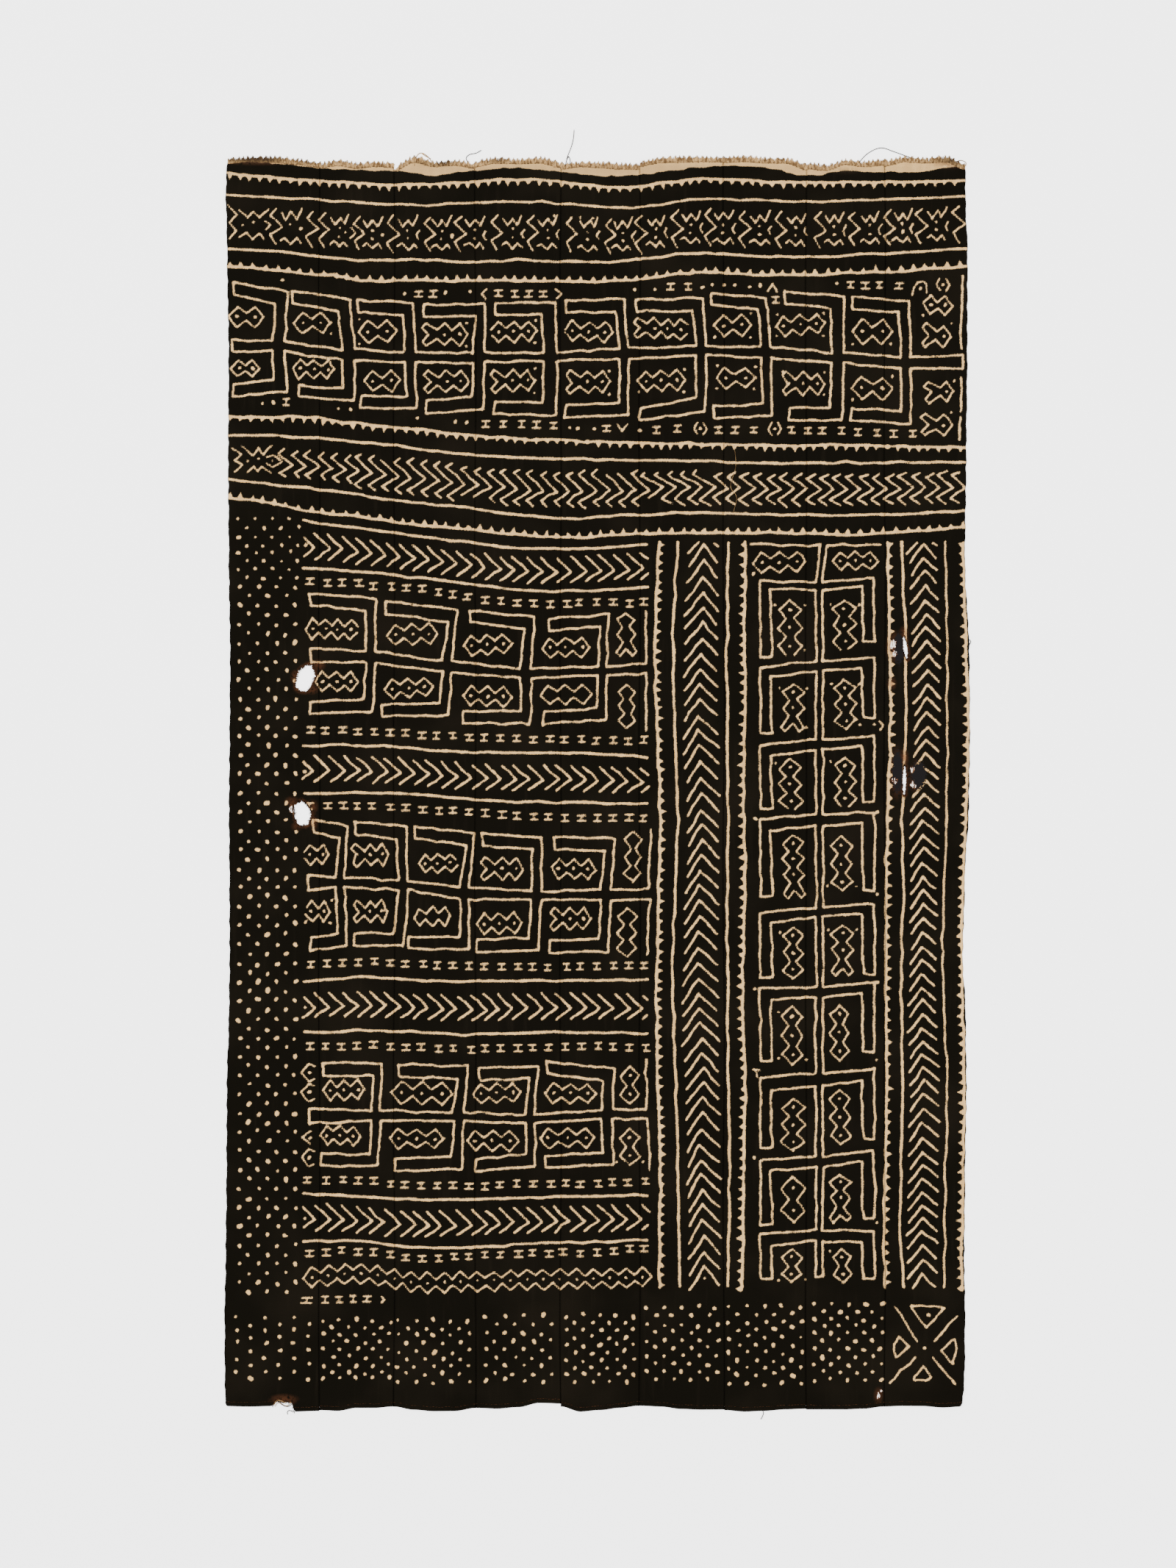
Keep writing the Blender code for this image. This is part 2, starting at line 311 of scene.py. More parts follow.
# The same figure turned upright, with heads turned down: branch's upper and lower line at the
# trunk, the rise towards the left and right corner, and the foot of the left and right head.
UPRIGHT_HOOKS = (
    (792, 803, -2, -6, 894, 873),
    (900, 913, 8, -5, 999, 977),
    (1006, 1020, 8, -5, 1100, 1090),
    (1108, 1123, 6, -3, 1220, 1212),
    (1234, 1247, 8, -4, 1331, 1325),
    (1343, 1357, 2, -7, 1444, 1431),
    (1460, 1477, 6, -6, 1562, 1550),
    (1573, 1588, 5, -8, 1667, 1658),
    (1673, 1688, 6, 2, 1740, 1740),
)
UPRIGHT_TRUNK = (1110.0, 1119.5)
UPRIGHT_LEFT = (1034.0, 1048.5)
UPRIGHT_RIGHT = (1189.0, 1172.5)

# Lozenge chains. Columns: middle, how many lozenges, length, half height, what sets it apart
# (upright, forked or open at its tail, topless where its head is open, empty without dots),
# and where corner dots stand (a top left, b top right, c bottom left, d bottom right).
CHAINS = (
    (335, 431, 2, 48, 14, "", ""),
    (425, 439, 2, 52, 14, "", "d"),
    (514, 451, 2, 52, 15, "", "ac"),
    (605, 455, 3, 62, 15, "forked", "bd"),
    (699, 451, 3, 62, 14, "open", "bd"),
    (801, 451, 3, 66, 14, "", ""),
    (899, 447, 4, 72, 14, "forked topless", ""),
    (997, 443, 2, 50, 15, "", "bcd"),
    (1089, 442, 3, 67, 14, "", "abcd"),
    (1187, 451, 2, 54, 17, "", "cd"),
    (1276, 415, 2, 40, 13, "", "c"),
    (1274, 457, 2, 40, 16, "forked", "b"),
    (334, 501, 2, 40, 12, "", ""),
    (427, 502, 3, 57, 13, "", ""),
    (520, 518, 2, 50, 14, "", ""),
    (607, 519, 3, 60, 15, "forked", ""),
    (698, 518, 3, 60, 15, "forked", "bd"),
    (800, 520, 3, 61, 15, "forked", "bd"),
    (900, 518, 3, 64, 14, "", "bcd"),
    (1001, 514, 2, 53, 14, "", "abcd"),
    (1093, 522, 3, 58, 15, "forked", "abd"),
    (1187, 528, 2, 56, 15, "", "bc"),
    (1278, 533, 2, 40, 14, "forked", "b"),
    (1274, 578, 2, 42, 15, "forked", "b"),
    (451, 856, 4, 71, 14, "topless", ""),
    (561, 863, 3, 68, 14, "", ""),
    (663, 877, 3, 66, 14, "", ""),
    (770, 881, 3, 66, 14, "", ""),
    (852, 863, 3, 58, 13, "upright forked empty", ""),
    (458, 927, 3, 60, 14, "", ""),
    (556, 936, 3, 66, 13, "", ""),
    (663, 947, 3, 67, 14, "", ""),
    (770, 945, 3, 70, 13, "empty", ""),
    (853, 961, 3, 58, 12, "upright empty", ""),
    (431, 1163, 2, 34, 14, "open", ""),
    (504, 1163, 3, 50, 15, "forked", ""),
    (596, 1174, 3, 52, 13, "topless", ""),
    (683, 1182, 3, 58, 15, "forked", ""),
    (780, 1182, 3, 60, 14, "", ""),
    (861, 1166, 3, 68, 12, "upright empty", ""),
    (433, 1240, 2, 34, 14, "open", "bcd"),
    (504, 1240, 3, 46, 15, "forked", ""),
    (588, 1247, 3, 50, 13, "empty", ""),
    (679, 1256, 3, 62, 15, "", ""),
    (776, 1250, 3, 55, 15, "forked", ""),
    (853, 1268, 3, 65, 13, "upright empty", ""),
    (468, 1483, 3, 57, 14, "", ""),
    (574, 1487, 3, 82, 16, "", ""),
    (676, 1487, 3, 66, 13, "", ""),
    (776, 1487, 3, 70, 14, "", ""),
    (857, 1476, 2, 52, 13, "upright", ""),
    (463, 1545, 3, 54, 13, "", ""),
    (567, 1549, 3, 75, 13, "", ""),
    (670, 1552, 3, 70, 14, "", ""),
    (772, 1548, 3, 76, 14, "", ""),
    (857, 1560, 2, 50, 14, "upright", "cd"),
    (1060, 765, 3, 72, 14, "", "c"),
    (1164, 763, 3, 61, 12, "", ""),
    (1075, 854, 3, 75, 16, "upright open", "abd"),
    (1149, 850, 3, 66, 16, "upright open", "ab"),
    (1079, 963, 3, 64, 15, "upright forked", "abd"),
    (1150, 958, 3, 68, 15, "upright", "abd"),
    (1075, 1067, 3, 68, 16, "upright open", "a"),
    (1150, 1064, 3, 68, 15, "upright open", "a"),
    (1080, 1179, 4, 86, 15, "upright forked", ""),
    (1145, 1175, 3, 74, 15, "upright", "cd"),
    (1079, 1296, 3, 69, 14, "upright", "a"),
    (1146, 1293, 3, 68, 15, "upright forked", "ab"),
    (1078, 1409, 3, 79, 15, "upright", "acd"),
    (1142, 1405, 3, 76, 13, "upright", ""),
    (1079, 1530, 3, 71, 16, "upright", ""),
    (1143, 1520, 3, 74, 14, "upright", ""),
    (1079, 1632, 2, 62, 16, "upright", ""),
    (1143, 1630, 3, 65, 14, "upright forked", ""),
    (1077, 1722, 2, 46, 14, "upright", "cd"),
    (1146, 1722, 2, 46, 12, "upright", "a"),
)

# Small marks between the bands, each a kind and its place.
MARKS = (
    ("dot", 384, 381), ("dot", 550, 399), ("bar", 570, 400), ("bar", 590, 400), ("dot", 606, 398),
    ("dot", 640, 398), ("less", 658, 400), ("bar", 678, 399), ("bar", 700, 400), ("bar", 720, 400),
    ("bar", 739, 400), ("more", 760, 400), ("dot", 865, 394), ("dot", 891, 393), ("bar", 913, 390),
    ("bar", 936, 390), ("dot", 956, 391), ("dot", 969, 387), ("dot", 985, 387), ("dot", 1000, 387),
    ("dot", 1019, 390), ("dot", 1033, 388), ("roof", 1051, 390), ("bar", 1055, 408),
    ("dot", 1138, 386), ("bar", 1157, 388), ("bar", 1177, 389), ("bar", 1196, 388),
    ("bar", 1224, 389), ("arch", 1252, 391), ("ring", 1283, 387),
    ("dot", 357, 549), ("dot", 372, 548), ("bar", 390, 547), ("dot", 461, 556), ("dot", 477, 558),
    ("dot", 568, 569), ("dot", 620, 574), ("dot", 635, 575), ("bar", 661, 577), ("bar", 685, 577),
    ("bar", 710, 577), ("bar", 730, 578), ("bar", 753, 579), ("dot", 776, 583), ("dot", 786, 584),
    ("dot", 808, 584), ("bar", 825, 583), ("vee", 847, 582), ("dot", 871, 586), ("bar", 893, 585),
    ("bar", 922, 583), ("ring", 953, 583), ("bar", 977, 585), ("bar", 1001, 585), ("bar", 1026, 585),
    ("ring", 1054, 583), ("bar", 1076, 585), ("bar", 1099, 586), ("bar", 1119, 586),
    ("bar", 1145, 586), ("bar", 1167, 588), ("bar", 1193, 589), ("bar", 1216, 590),
    ("bar", 1242, 590),
    ("broad", 418, 1769), ("bar", 442, 1768), ("bar", 461, 1768), ("bar", 480, 1767),
    ("bar", 500, 1767), ("comma", 520, 1767),
    ("dot", 1025, 780), ("dot", 1026, 1114), ("dot", 1026, 1345), ("tee", 1029, 1460),
    ("dot", 1026, 1576), ("close", 1199, 987), ("dot", 1194, 1105), ("dot", 1194, 1217),
    ("dot", 1193, 1336), ("dot", 1193, 1442), ("dot", 1192, 1664), ("dot", 415, 742),
    ("dot", 415, 1050), ("dot", 415, 1370), ("dot", 415, 1658),
)

# Marks by their strokes and dots, around the mark's middle. A dot has its half width last.
MARK_SHAPES = {
    "dot": ((), ((0, 0, 2.5),)),
    "comma": ((((-1, -3), (2, 1), (-2, 4)),), ()),
    "less": ((((4, -7), (-3, 0), (4, 7)),), ()),
    "more": ((((-4, -6), (4, -1), (-3, 6)),), ()),
    "roof": ((((-6, 6), (0, -5), (6, 6)),), ()),
    "vee": ((((-7, -6), (0, 5), (7, -6)),), ()),
    "arch": ((((-11, 10), (-9, 0), (-4, -7), (4, -8), (9, -3), (9, 8)),), ((0, 1, 2.4),)),
    "tee": ((((-5, -5), (5, -4)), ((0, -4), (1, 5))), ()),
    "close": ((((-2, -6), (3, 0), (-2, 6)),), ((-9, -1, 2.3),)),
    "ring": ((((-4, -8), (-9, 0), (-4, 8)), ((4, -8), (9, 0), (4, 8))), ((0, 0, 2.3),)),
}
BAR_GROWTH = {"bar": 1.0, "broad": 1.6}

# Small lozenges left open at the left end of the third hooked band, and the stroke of one.
OPEN_LOZENGES = ((420, 1459), (419, 1486), (420, 1575))
OPEN_LOZENGE = ((8, -9), (0, -12), (-10, 0), (0, 12), (8, 8))
OPEN_WEDGE = ((423, 1537), (410, 1546), (422, 1556))
OPEN_WEDGE_DOT = (421, 1548, 2.2)

# Strokes of the motifs, around the motif's middle or, for a chevron, its point.
BUTTERFLY_TOP = ((-12, -18), (-6, -9), (1, -19), (7, -10), (13, -24))
BUTTERFLY_LOW = ((-14, 17), (-8, 13), (0, 21), (7, 13), (12, 20))
FIRST_TOP = ((-21, -21), (-9, -10), (-1, -18), (7, -9), (19, -21))
FIRST_LOW = ((-21, 17), (-10, 10), (-2, 18), (6, 11), (13, 20))
BUTTERFLY_DOTS = ((0, -4), (0, 7))
BRACE = ((1, -24), (-8, -15), (8, 0), (-8, 11), (0, 24))
LEFT_BRACE = ((310, 279), (323, 292), (311, 303), (321, 314), (312, 325))
TICK = ((16, -5), (12, 1), (15, 7))
TICK_OUT = ((15, -6), (21, 0), (15, 6))
SERIFS = (
    # used up to this x, the stroke
    (500.0, ((-13, -23), (-21, -16), (0, 0), (-19, 11), (-11, 17))),
    (900.0, ((-16, -28), (-25, -23), (0, 0), (-24, 15), (-15, 22))),
    (985.0, ((-26, -25), (-31, -21), (0, -4), (-21, 12), (-6, 20))),
    (1320.0, ((-9, -25), (-21, -20), (0, -4), (-23, 11), (-10, 19))),
)
PLAIN_CHEVRON = ((-21, -19.5), (0, 0), (-20, 14.5))
PLAIN_CHEVRON_LOW = 2.5
BUTTERFLY_X = (
    346, 396, 462, 507, 555, 601, 646, 697, 745, 800,
    847, 892, 940, 984, 1034, 1083, 1135, 1183, 1228, 1274,
)
BRACE_X = (
    375, 425, 441, 489, 535, 585, 627, 676, 725, 778, 831,
    873, 921, 967, 1014, 1063, 1116, 1163, 1211, 1254, 1305,
)
BUTTERFLY_SCALES = {1: 1.1}
ONE_DOT_UP_TO = 2
# To the right of a crown stands a tick, but a dot beside these, and both beside those with a
# tick turned outwards, whose dot's x is given.
DOTTED_CROWNS = (1, 3, 5)
OUTWARD_TICKS = {0: -16, 2: 9}
BUTTERFLY_SPOTS = ((754, 293), (790, 296), (806, 297))
SERIF_OPENING = (
    ((315, 609), (329, 618), (318, 627), (329, 633), (318, 642)),
    ((329, 607), (344, 619), (352, 608), (359, 618), (370, 606)),
    ((337, 642), (346, 634), (351, 641), (356, 634), (368, 643)),
    ((363, 622), (371, 619), (384, 628), (372, 636), (363, 631)),
)
SERIF_OPENING_DOTS = ((351.5, 624, 2.1), (337, 627, 2.1), (370, 626.5, 1.8))
NO_SERIF_ABOVE = ((525, 560), (845, 880))
NO_SERIF_BELOW = ((640, 675), (885, 915))
SERIF_START = 399.0
SERIF_PITCH = 17.92
SERIF_SCALE = 0.97

# Dotted fields: the left border, in two parts, then one block to each strip along the hem.
LEFT_FIELDS = (
    # left, right, top, bottom, column pitch, row pitch
    (324, 405, 682, 788, 11.5, 23.3),
    (326, 402, 798, 1762, 12.8, 25.6),
)
LEFT_FIELD_GROWTH = (0.9, 1.06)
HEM_BLOCKS = (
    # left, right, top, bottom, column pitch, row pitch
    (321, 420, 1791, 1878, 20.2, 18.8),
    (441, 529, 1796, 1883, 10.9, 20.0),
    (542, 638, 1796, 1882, 12.0, 21.0),
    (661, 751, 1791, 1882, 12.8, 22.0),
    (771, 862, 1790, 1882, 11.4, 20.0),
    (880, 976, 1780, 1882, 12.0, 21.5),
    (992, 1090, 1777, 1884, 12.2, 21.0),
    (1108, 1199, 1774, 1883, 11.4, 20.5),
)

# The square at the hem's right end: four bars, four closed wedges and two dots.
STAR_BARS = (
    ((1217, 1777), (1248, 1824)),
    ((1302, 1791), (1271, 1825)),
    ((1245, 1846), (1211, 1881)),
    ((1268, 1847), (1298, 1883)),
)
STAR_WEDGES = (
    ((1239, 1777), (1270, 1776), (1285, 1780), (1261, 1806)),
    ((1222, 1818), (1238, 1832), (1219, 1846), (1216, 1828)),
    ((1298, 1821), (1302, 1834), (1297, 1854), (1280, 1838)),
    ((1257, 1858), (1267, 1873), (1262, 1878), (1242, 1878), (1242, 1873)),
)
STAR_DOTS = ((1258, 1834), (1264, 1789))

# Lower limit of the undyed cloth under the raw edge: y at each station of x.
UNDYED_X = (306, 340, 400, 440, 490, 560, 580, 640, 700, 740, 850, 895, 925, 1050, 1096, 1150, 1200,
            1250, 1280, 1319)
UNDYED_Y = (220, 221, 225, 230, 233, 235, 239, 233, 229, 232, 240, 236, 231, 230, 239, 233, 235,
            234, 230, 226)

# Stained and worn places: kind, x, y, half width and half height in pixels, and strength.
STAINS = (
    ("tanned", 812, 231, 700, 15, 1.0),
    ("rusty", 350, 218.5, 62, 5.5, 0.9),
    ("rusty", 1294, 220, 32, 9, 0.6),
    ("sooty", 345, 216, 54, 7, 1.3),
    ("sooty", 425, 220, 34, 6, 0.6),
    ("sooty", 590, 222, 26, 6, 0.45),
    ("sooty", 676, 219, 16, 5, 0.5),
    ("sooty", 603, 219, 17, 8, 1.0),
    ("sooty", 1294, 219, 24, 8, 0.8),
    ("sooty", 1150, 232, 20, 5, 0.35),
    ("rusty", 1216, 880, 10, 20, 0.9),
    ("rusty", 1220, 1052, 10, 32, 0.9),
    ("rusty", 1246, 1056, 10, 20, 0.8),
    ("darned", 1223, 882, 9, 26, 1.0),
    ("darned", 1221, 1050, 9, 36, 1.0),
    ("darned", 1250, 1055, 13, 24, 1.0),
    ("torn", 1215, 877, 5.5, 7, 1.0),
    ("torn", 1217, 889, 4, 5, 0.9),
    ("torn", 1217, 1062, 4.5, 4.5, 0.9),
    ("torn", 1241, 1047, 3.5, 4, 0.85),
    ("torn", 1242, 1068, 4.5, 6, 0.95),
    ("torn", 1194.5, 1898, 2.8, 4.6, 1.1),
    ("torn", 1199.5, 1892, 1.6, 4.0, 0.95),
    ("torn", 396.5, 1100, 2.6, 6, 1.1),
    ("rusty", 1213, 930, 6, 9, 0.8),
    ("rusty", 1230, 860, 6, 8, 0.8),
    ("rusty", 1230, 1031, 6, 12, 1.0),
    ("rusty", 433, 905, 9, 7, 0.9),
    ("rusty", 402, 921, 6, 9, 0.9),
    ("rusty", 424, 938, 9, 6, 0.9),
    ("rusty", 425, 1098, 7, 9, 0.9),
    ("rusty", 427, 1119, 5, 12, 0.8),
    ("rusty", 404, 1124, 7, 6, 0.8),
    ("rusty", 397, 1090, 9, 6, 0.8),
    ("rusty", 386, 1904, 18, 7, 1.0),
    ("rusty", 1195, 1898, 6, 10, 0.8),
)

# Linear colours.
COTTON = (0.855, 0.545, 0.222, 1.0)
COTTON_SHADE = (0.625, 0.378, 0.145, 1.0)
COTTON_SLUB = (0.36, 0.20, 0.070, 1.0)
TANNED = (0.430, 0.268, 0.115, 1.0)
TORN_PALE = (0.92, 0.84, 0.76, 1.0)
DARNED = (0.0100, 0.0088, 0.0092, 1.0)
MUD = (0.0045, 0.0037, 0.0023, 1.0)
MUD_WORN = (0.0098, 0.0074, 0.0046, 1.0)
HALO = (0.045, 0.040, 0.034, 1.0)
RUST = (0.230, 0.085, 0.035, 1.0)
RUST_ON_MUD = (0.075, 0.027, 0.012, 1.0)
SOOT = (0.034, 0.020, 0.012, 1.0)
REVERSE = (0.110, 0.075, 0.042, 1.0)
FLOOR_COLOUR = (0.92, 0.92, 0.92, 1.0)
# The dark and the light colour of each kind of yarn. The undyed yarn is darker than the cloth's cotton:
# partly soiling, partly painted shade among the frayed tufts.
UNDYED_YARN_SOILED_AND_SHADED = ((0.15, 0.082, 0.035, 1.0), (0.52, 0.325, 0.138, 1.0))
RUSTY_YARN = ((0.006, 0.004, 0.003, 1.0), (0.07, 0.028, 0.012, 1.0))
BROWN_YARN = ((0.050, 0.025, 0.012, 1.0), (0.19, 0.10, 0.045, 1.0))
GREY_YARN = ((0.012, 0.010, 0.008, 1.0), (0.05, 0.04, 0.03, 1.0))

# How far the mud has crept into the edges of the pale strokes, in millimetres.
DYE_CREEP = 0.58
# Yarns to a metre.
WARP_PER_M = 950.0
WEFT_PER_M = 800.0

# Frayed ends and stitches, in millimetres.
FRAY_DEEP = 5.6
FRAY_MORE = 0.3
FRAY_GAPS = (
    # x, half wide, deep
    (-247.5, 4.0, 6.5),
    (-151.0, 8.0, 2.0),
)
END_LEVEL = LENGTH / 2 - 8.0
ROOT_LAP = 1.4
TUFT_RISE = 1.1
YARN_LAP = 1.6
FRAY_REACH = (0.3, 0.6, 1.0, 2.2)
YARN_SIDES = 3
SEAM_STITCH_RADIUS = 0.20
RAW_STITCH_DEEP = FRAY_DEEP + 1.2
RAW_STITCH_RADIUS = 0.34
HEM_STITCH_DEEP = 5.6
HEM_STITCH_RADIUS = 0.28
LOOSE_RADIUS = 0.70
LOOSE_FINE_RADIUS = 0.20
LOOSE_LIFT = 0.9
CURVE_STEPS = 6

# Threads that have come away, in pixels of the photograph.
LOOSE_GREY = (
    ((769, 226), (772, 213), (777, 200), (780, 188), (781, 176)),
    ((769, 226), (771, 217), (774, 213), (776, 219), (775, 226)),
    ((637, 222), (634, 215), (639, 210), (648, 208), (655, 204)),
    ((1166, 224), (1180, 209), (1198, 201), (1216, 206), (1246, 217)),
    ((1037, 1917), (1039, 1922), (1037, 1928), (1035, 1931)),
    ((379, 1906), (385, 1911), (392, 1913), (398, 1909)),
    ((398, 1920), (393, 1919), (391, 1922), (392, 1924)),
    ((399, 1097), (401, 1103), (400, 1110)),
    ((1319, 870), (1321, 873), (1319, 877)),
)
LOOSE_PALE = (
    ((374, 1913), (378, 1908), (383, 1909), (388, 1912), (393, 1911), (396, 1907)),
    ((372, 1911), (377, 1905), (384, 1906), (390, 1909)),
    ((1298, 221), (1307, 218), (1314, 221), (1314, 226)),
    ((564, 226), (566, 214), (572, 208), (580, 211), (588, 220)),
    ((586, 216), (580, 213), (574, 209)),
)
LOOSE_FINE = (
    ((999, 606), (1001, 634), (994, 661), (1001, 673), (1002, 681), (998, 696)),
)

# Floor, camera and lights, in metres, millimetres of lens and watts.
FLOOR_DROP = 0.0004
FLOOR_HALF = 30.0
FLOOR_GLOW = 2.2
LENS = 85.0
SENSOR = 36.0
LIGHT_HIGH = 5.0
LIGHTS = (
    # name, x, y, size, watts
    ("key_light", -1.6, 1.6, 3.2, 260.0),
    ("fill_light", 2.2, -0.6, 3.2, 170.0),
)
SKY_STRENGTH = 1.25


def curve_through(places, values, at):
    """A smooth curve through (place, value) pairs, read at many places."""
    places = np.asarray(places, float)
    values = np.asarray(values, float)
    at = np.clip(np.asarray(at, float), places[0], places[-1])
    slopes = np.gradient(values, places)
    i = np.clip(np.searchsorted(places, at) - 1, 0, len(places) - 2)
    gap = places[i + 1] - places[i]
    t = (at - places[i]) / gap
    rise = (1 + 2 * t) * (1 - t) ** 2 * values[i] + t * t * (3 - 2 * t) * values[i + 1]
    lean = t * (1 - t) ** 2 * slopes[i] - t * t * (1 - t) * slopes[i + 1]
    return rise + gap * lean


def wide_y(name, x):
    """y of a line that crosses the whole cloth."""
    return curve_through(WIDE_X, WIDE_Y[name], x)


def panel_y(values, x):
    """y of a row of the middle panel."""
    return curve_through(PANEL_X, values, x)


def upright_x(values, y):
    """x of an upright line of the right-hand side."""
    return curve_through(UPRIGHT_Y, values, y)


class Painter:
    """Holds the distance in pixels from each place on the cloth to the nearest pale stroke."""

    LEFT, TOP, WIDE, HIGH = 300, 205, 1026, 1724
    REACH = 7.0
    STEP = 4.5
    SHAKE = 0.75
    SHIVER = 0.22
    PRESS = 0.09

    def __init__(self, seed):
        self.hand = np.random.default_rng(seed)
        self.far = np.full((self.HIGH, self.WIDE), self.REACH)

    def resampled(self, points, closed):
        """Points a few pixels apart along a polyline, moved a little as a hand would."""
        if closed:
            points = list(points) + [points[0]]
        out = [np.asarray(points[0], float)]
        for a, b in zip(points, points[1:]):
            a, b = np.asarray(a, float), np.asarray(b, float)
            steps = max(1, int(round(np.linalg.norm(b - a) / self.STEP)))
            out += [a + (b - a) * k / steps for k in range(1, steps + 1)]
        out = np.array(out)
        shake = self.hand.normal(0, self.SHAKE, (len(out) // 3 + 2, 2))
        place = np.arange(len(out)) / 3
        for axis in range(2):
            out[:, axis] += np.interp(place, np.arange(len(shake)), shake[:, axis])
        out += self.hand.normal(0, self.SHIVER, out.shape)
        if closed:
            out[-1] = out[0]
        return out

    def stroke(self, points, half, closed=False, x_range=None, y_range=None):
        """Adds one pale stroke, cut off outside the ranges."""
        line = self.resampled(points, closed)
        halves = half * self.hand.normal(1.0, self.PRESS, len(line))
        keep = np.ones(len(line), bool)
        for axis, limits in ((0, x_range), (1, y_range)):
            if limits:
                keep &= (line[:, axis] >= limits[0]) & (line[:, axis] <= limits[1])
        for k in range(len(line) - 1):
            if keep[k] and keep[k + 1]:
                self.segment(line[k], line[k + 1], halves[k], halves[k + 1])

    def segment(self, a, b, half_a, half_b):
        """Brings the field down around one short straight piece."""
        reach = self.REACH + max(half_a, half_b)
        x0 = max(0, int(min(a[0], b[0]) - self.LEFT - reach))
        x1 = min(self.WIDE, int(max(a[0], b[0]) - self.LEFT + reach) + 2)
        y0 = max(0, int(min(a[1], b[1]) - self.TOP - reach))
        y1 = min(self.HIGH, int(max(a[1], b[1]) - self.TOP + reach) + 2)
        if x0 >= x1 or y0 >= y1:
            return
        x = np.arange(x0, x1)[None, :] + self.LEFT - a[0]
        y = np.arange(y0, y1)[:, None] + self.TOP - a[1]
        dx, dy = b[0] - a[0], b[1] - a[1]
        t = np.clip((x * dx + y * dy) / max(dx * dx + dy * dy, 1e-9), 0, 1)
        away = np.hypot(x - t * dx, y - t * dy) - (half_a + (half_b - half_a) * t)
        window = self.far[y0:y1, x0:x1]
        np.minimum(window, away, out=window)

    def dot(self, x, y, half=DOT_HALF):
        """A pale dot, seldom quite round."""
        lean = self.hand.uniform(0, math.pi)
        long = half * self.hand.uniform(0.05, 0.55)
        middle = np.array([x, y]) + self.hand.normal(0, 0.5, 2)
        along = np.array([math.cos(lean), math.sin(lean)]) * long
        size = 0.3 + half * self.hand.uniform(0.86, 1.08)
        self.segment(middle - along, middle + along, size, size * self.hand.uniform(0.6, 1.0))

    def motif(self, shape, x, y, half, scale=1.0, **limits):
        """A motif's stroke set down at a place."""
        grow = scale * self.hand.uniform(0.94, 1.06)
        self.stroke([(x + dx * grow, y + dy * grow) for dx, dy in shape], half, **limits)

    def undyed(self):
        """Leaves the cloth pale above the dye's limit under the raw edge."""
        x = np.arange(self.WIDE) + self.LEFT
        y = np.arange(self.HIGH) + self.TOP
        limit = curve_through(UNDYED_X, UNDYED_Y, x)
        limit = limit + np.interp(x, x[::7], self.hand.normal(0, 0.7, len(x[::7])))
        below = y[:, None] - limit[None, :]
        np.minimum(self.far, np.clip(below, -self.REACH, self.REACH), out=self.far)

    def read(self, x_mm, y_mm):
        """The field at places on the cloth, in millimetres from the nearest stroke's edge."""
        x = np.clip(x_mm / PX + CLOTH_MIDDLE_X - self.LEFT, 0, self.WIDE - 1.001)
        y = np.clip(CLOTH_MIDDLE_Y - y_mm / PX - self.TOP, 0, self.HIGH - 1.001)
        i, j = x.astype(int), y.astype(int)
        u, v = x - i, y - j
        upper = self.far[j, i] * (1 - u) + self.far[j, i + 1] * u
        lower = self.far[j + 1, i] * (1 - u) + self.far[j + 1, i + 1] * u
        return (upper * (1 - v) + lower * v) * PX


def paint_line(painter, x_of, y_of, start, end, half=LINE_HALF):
    """One long line whose course is given by functions of a place along it."""
    places = np.arange(start, end + 1, 6.0)
    painter.stroke([(x_of(p), y_of(p)) for p in places], half)


def paint_teeth(painter, start, end, pitch, root, out):
    """A comb's teeth along a line: root(place) is a point, out the way that they point."""
    place = start
    while place < end:
        foot = np.array(root(place))
        long = painter.hand.uniform(*TOOTH_LONG)
        lean = painter.hand.normal(0, 0.7, 2)
        tip = foot + np.array(out) * long + lean
        half = TOOTH_ROOT_HALF * painter.hand.uniform(0.75, 1.1)
        painter.segment(foot, tip, half, TOOTH_TIP_HALF)
        place += pitch * painter.hand.uniform(0.84, 1.16)


def paint_wide_bands(painter):
    """The lines, combs, butterflies and serifed chevrons that cross the whole cloth."""
    for name in WIDE_Y:
        half = FINE_LINES.get(name, LINE_HALF)
        paint_line(painter, lambda x: x, lambda x: wide_y(name, x), WIDE_LEFT, WIDE_RIGHT, half)
    for name, down, pitch in WIDE_COMBS:
        paint_teeth(painter, WIDE_LEFT + 6, WIDE_RIGHT - 4, pitch,
                    lambda x: (x, wide_y(name, x) + 2 * down), (0, down))
    paint_butterflies(painter)
    paint_serif_chevrons(painter)


def between_lines(upper, lower, x):
    """Half way between two of the wide lines, a touch low."""
    return 0.5 * (wide_y(upper, x) + wide_y(lower, x)) + 2.0


def paint_butterfly(painter, x, y, scale, top, low, dots):
    """A crown over a dot or two over its mirror image."""
    painter.motif(top, x, y, ZIGZAG_HALF, scale)
    painter.motif(low, x, y, ZIGZAG_HALF, scale)
    for dx, dy in BUTTERFLY_DOTS[:dots]:
        painter.dot(x + dx, y + dy, CROWN_DOT_HALF)


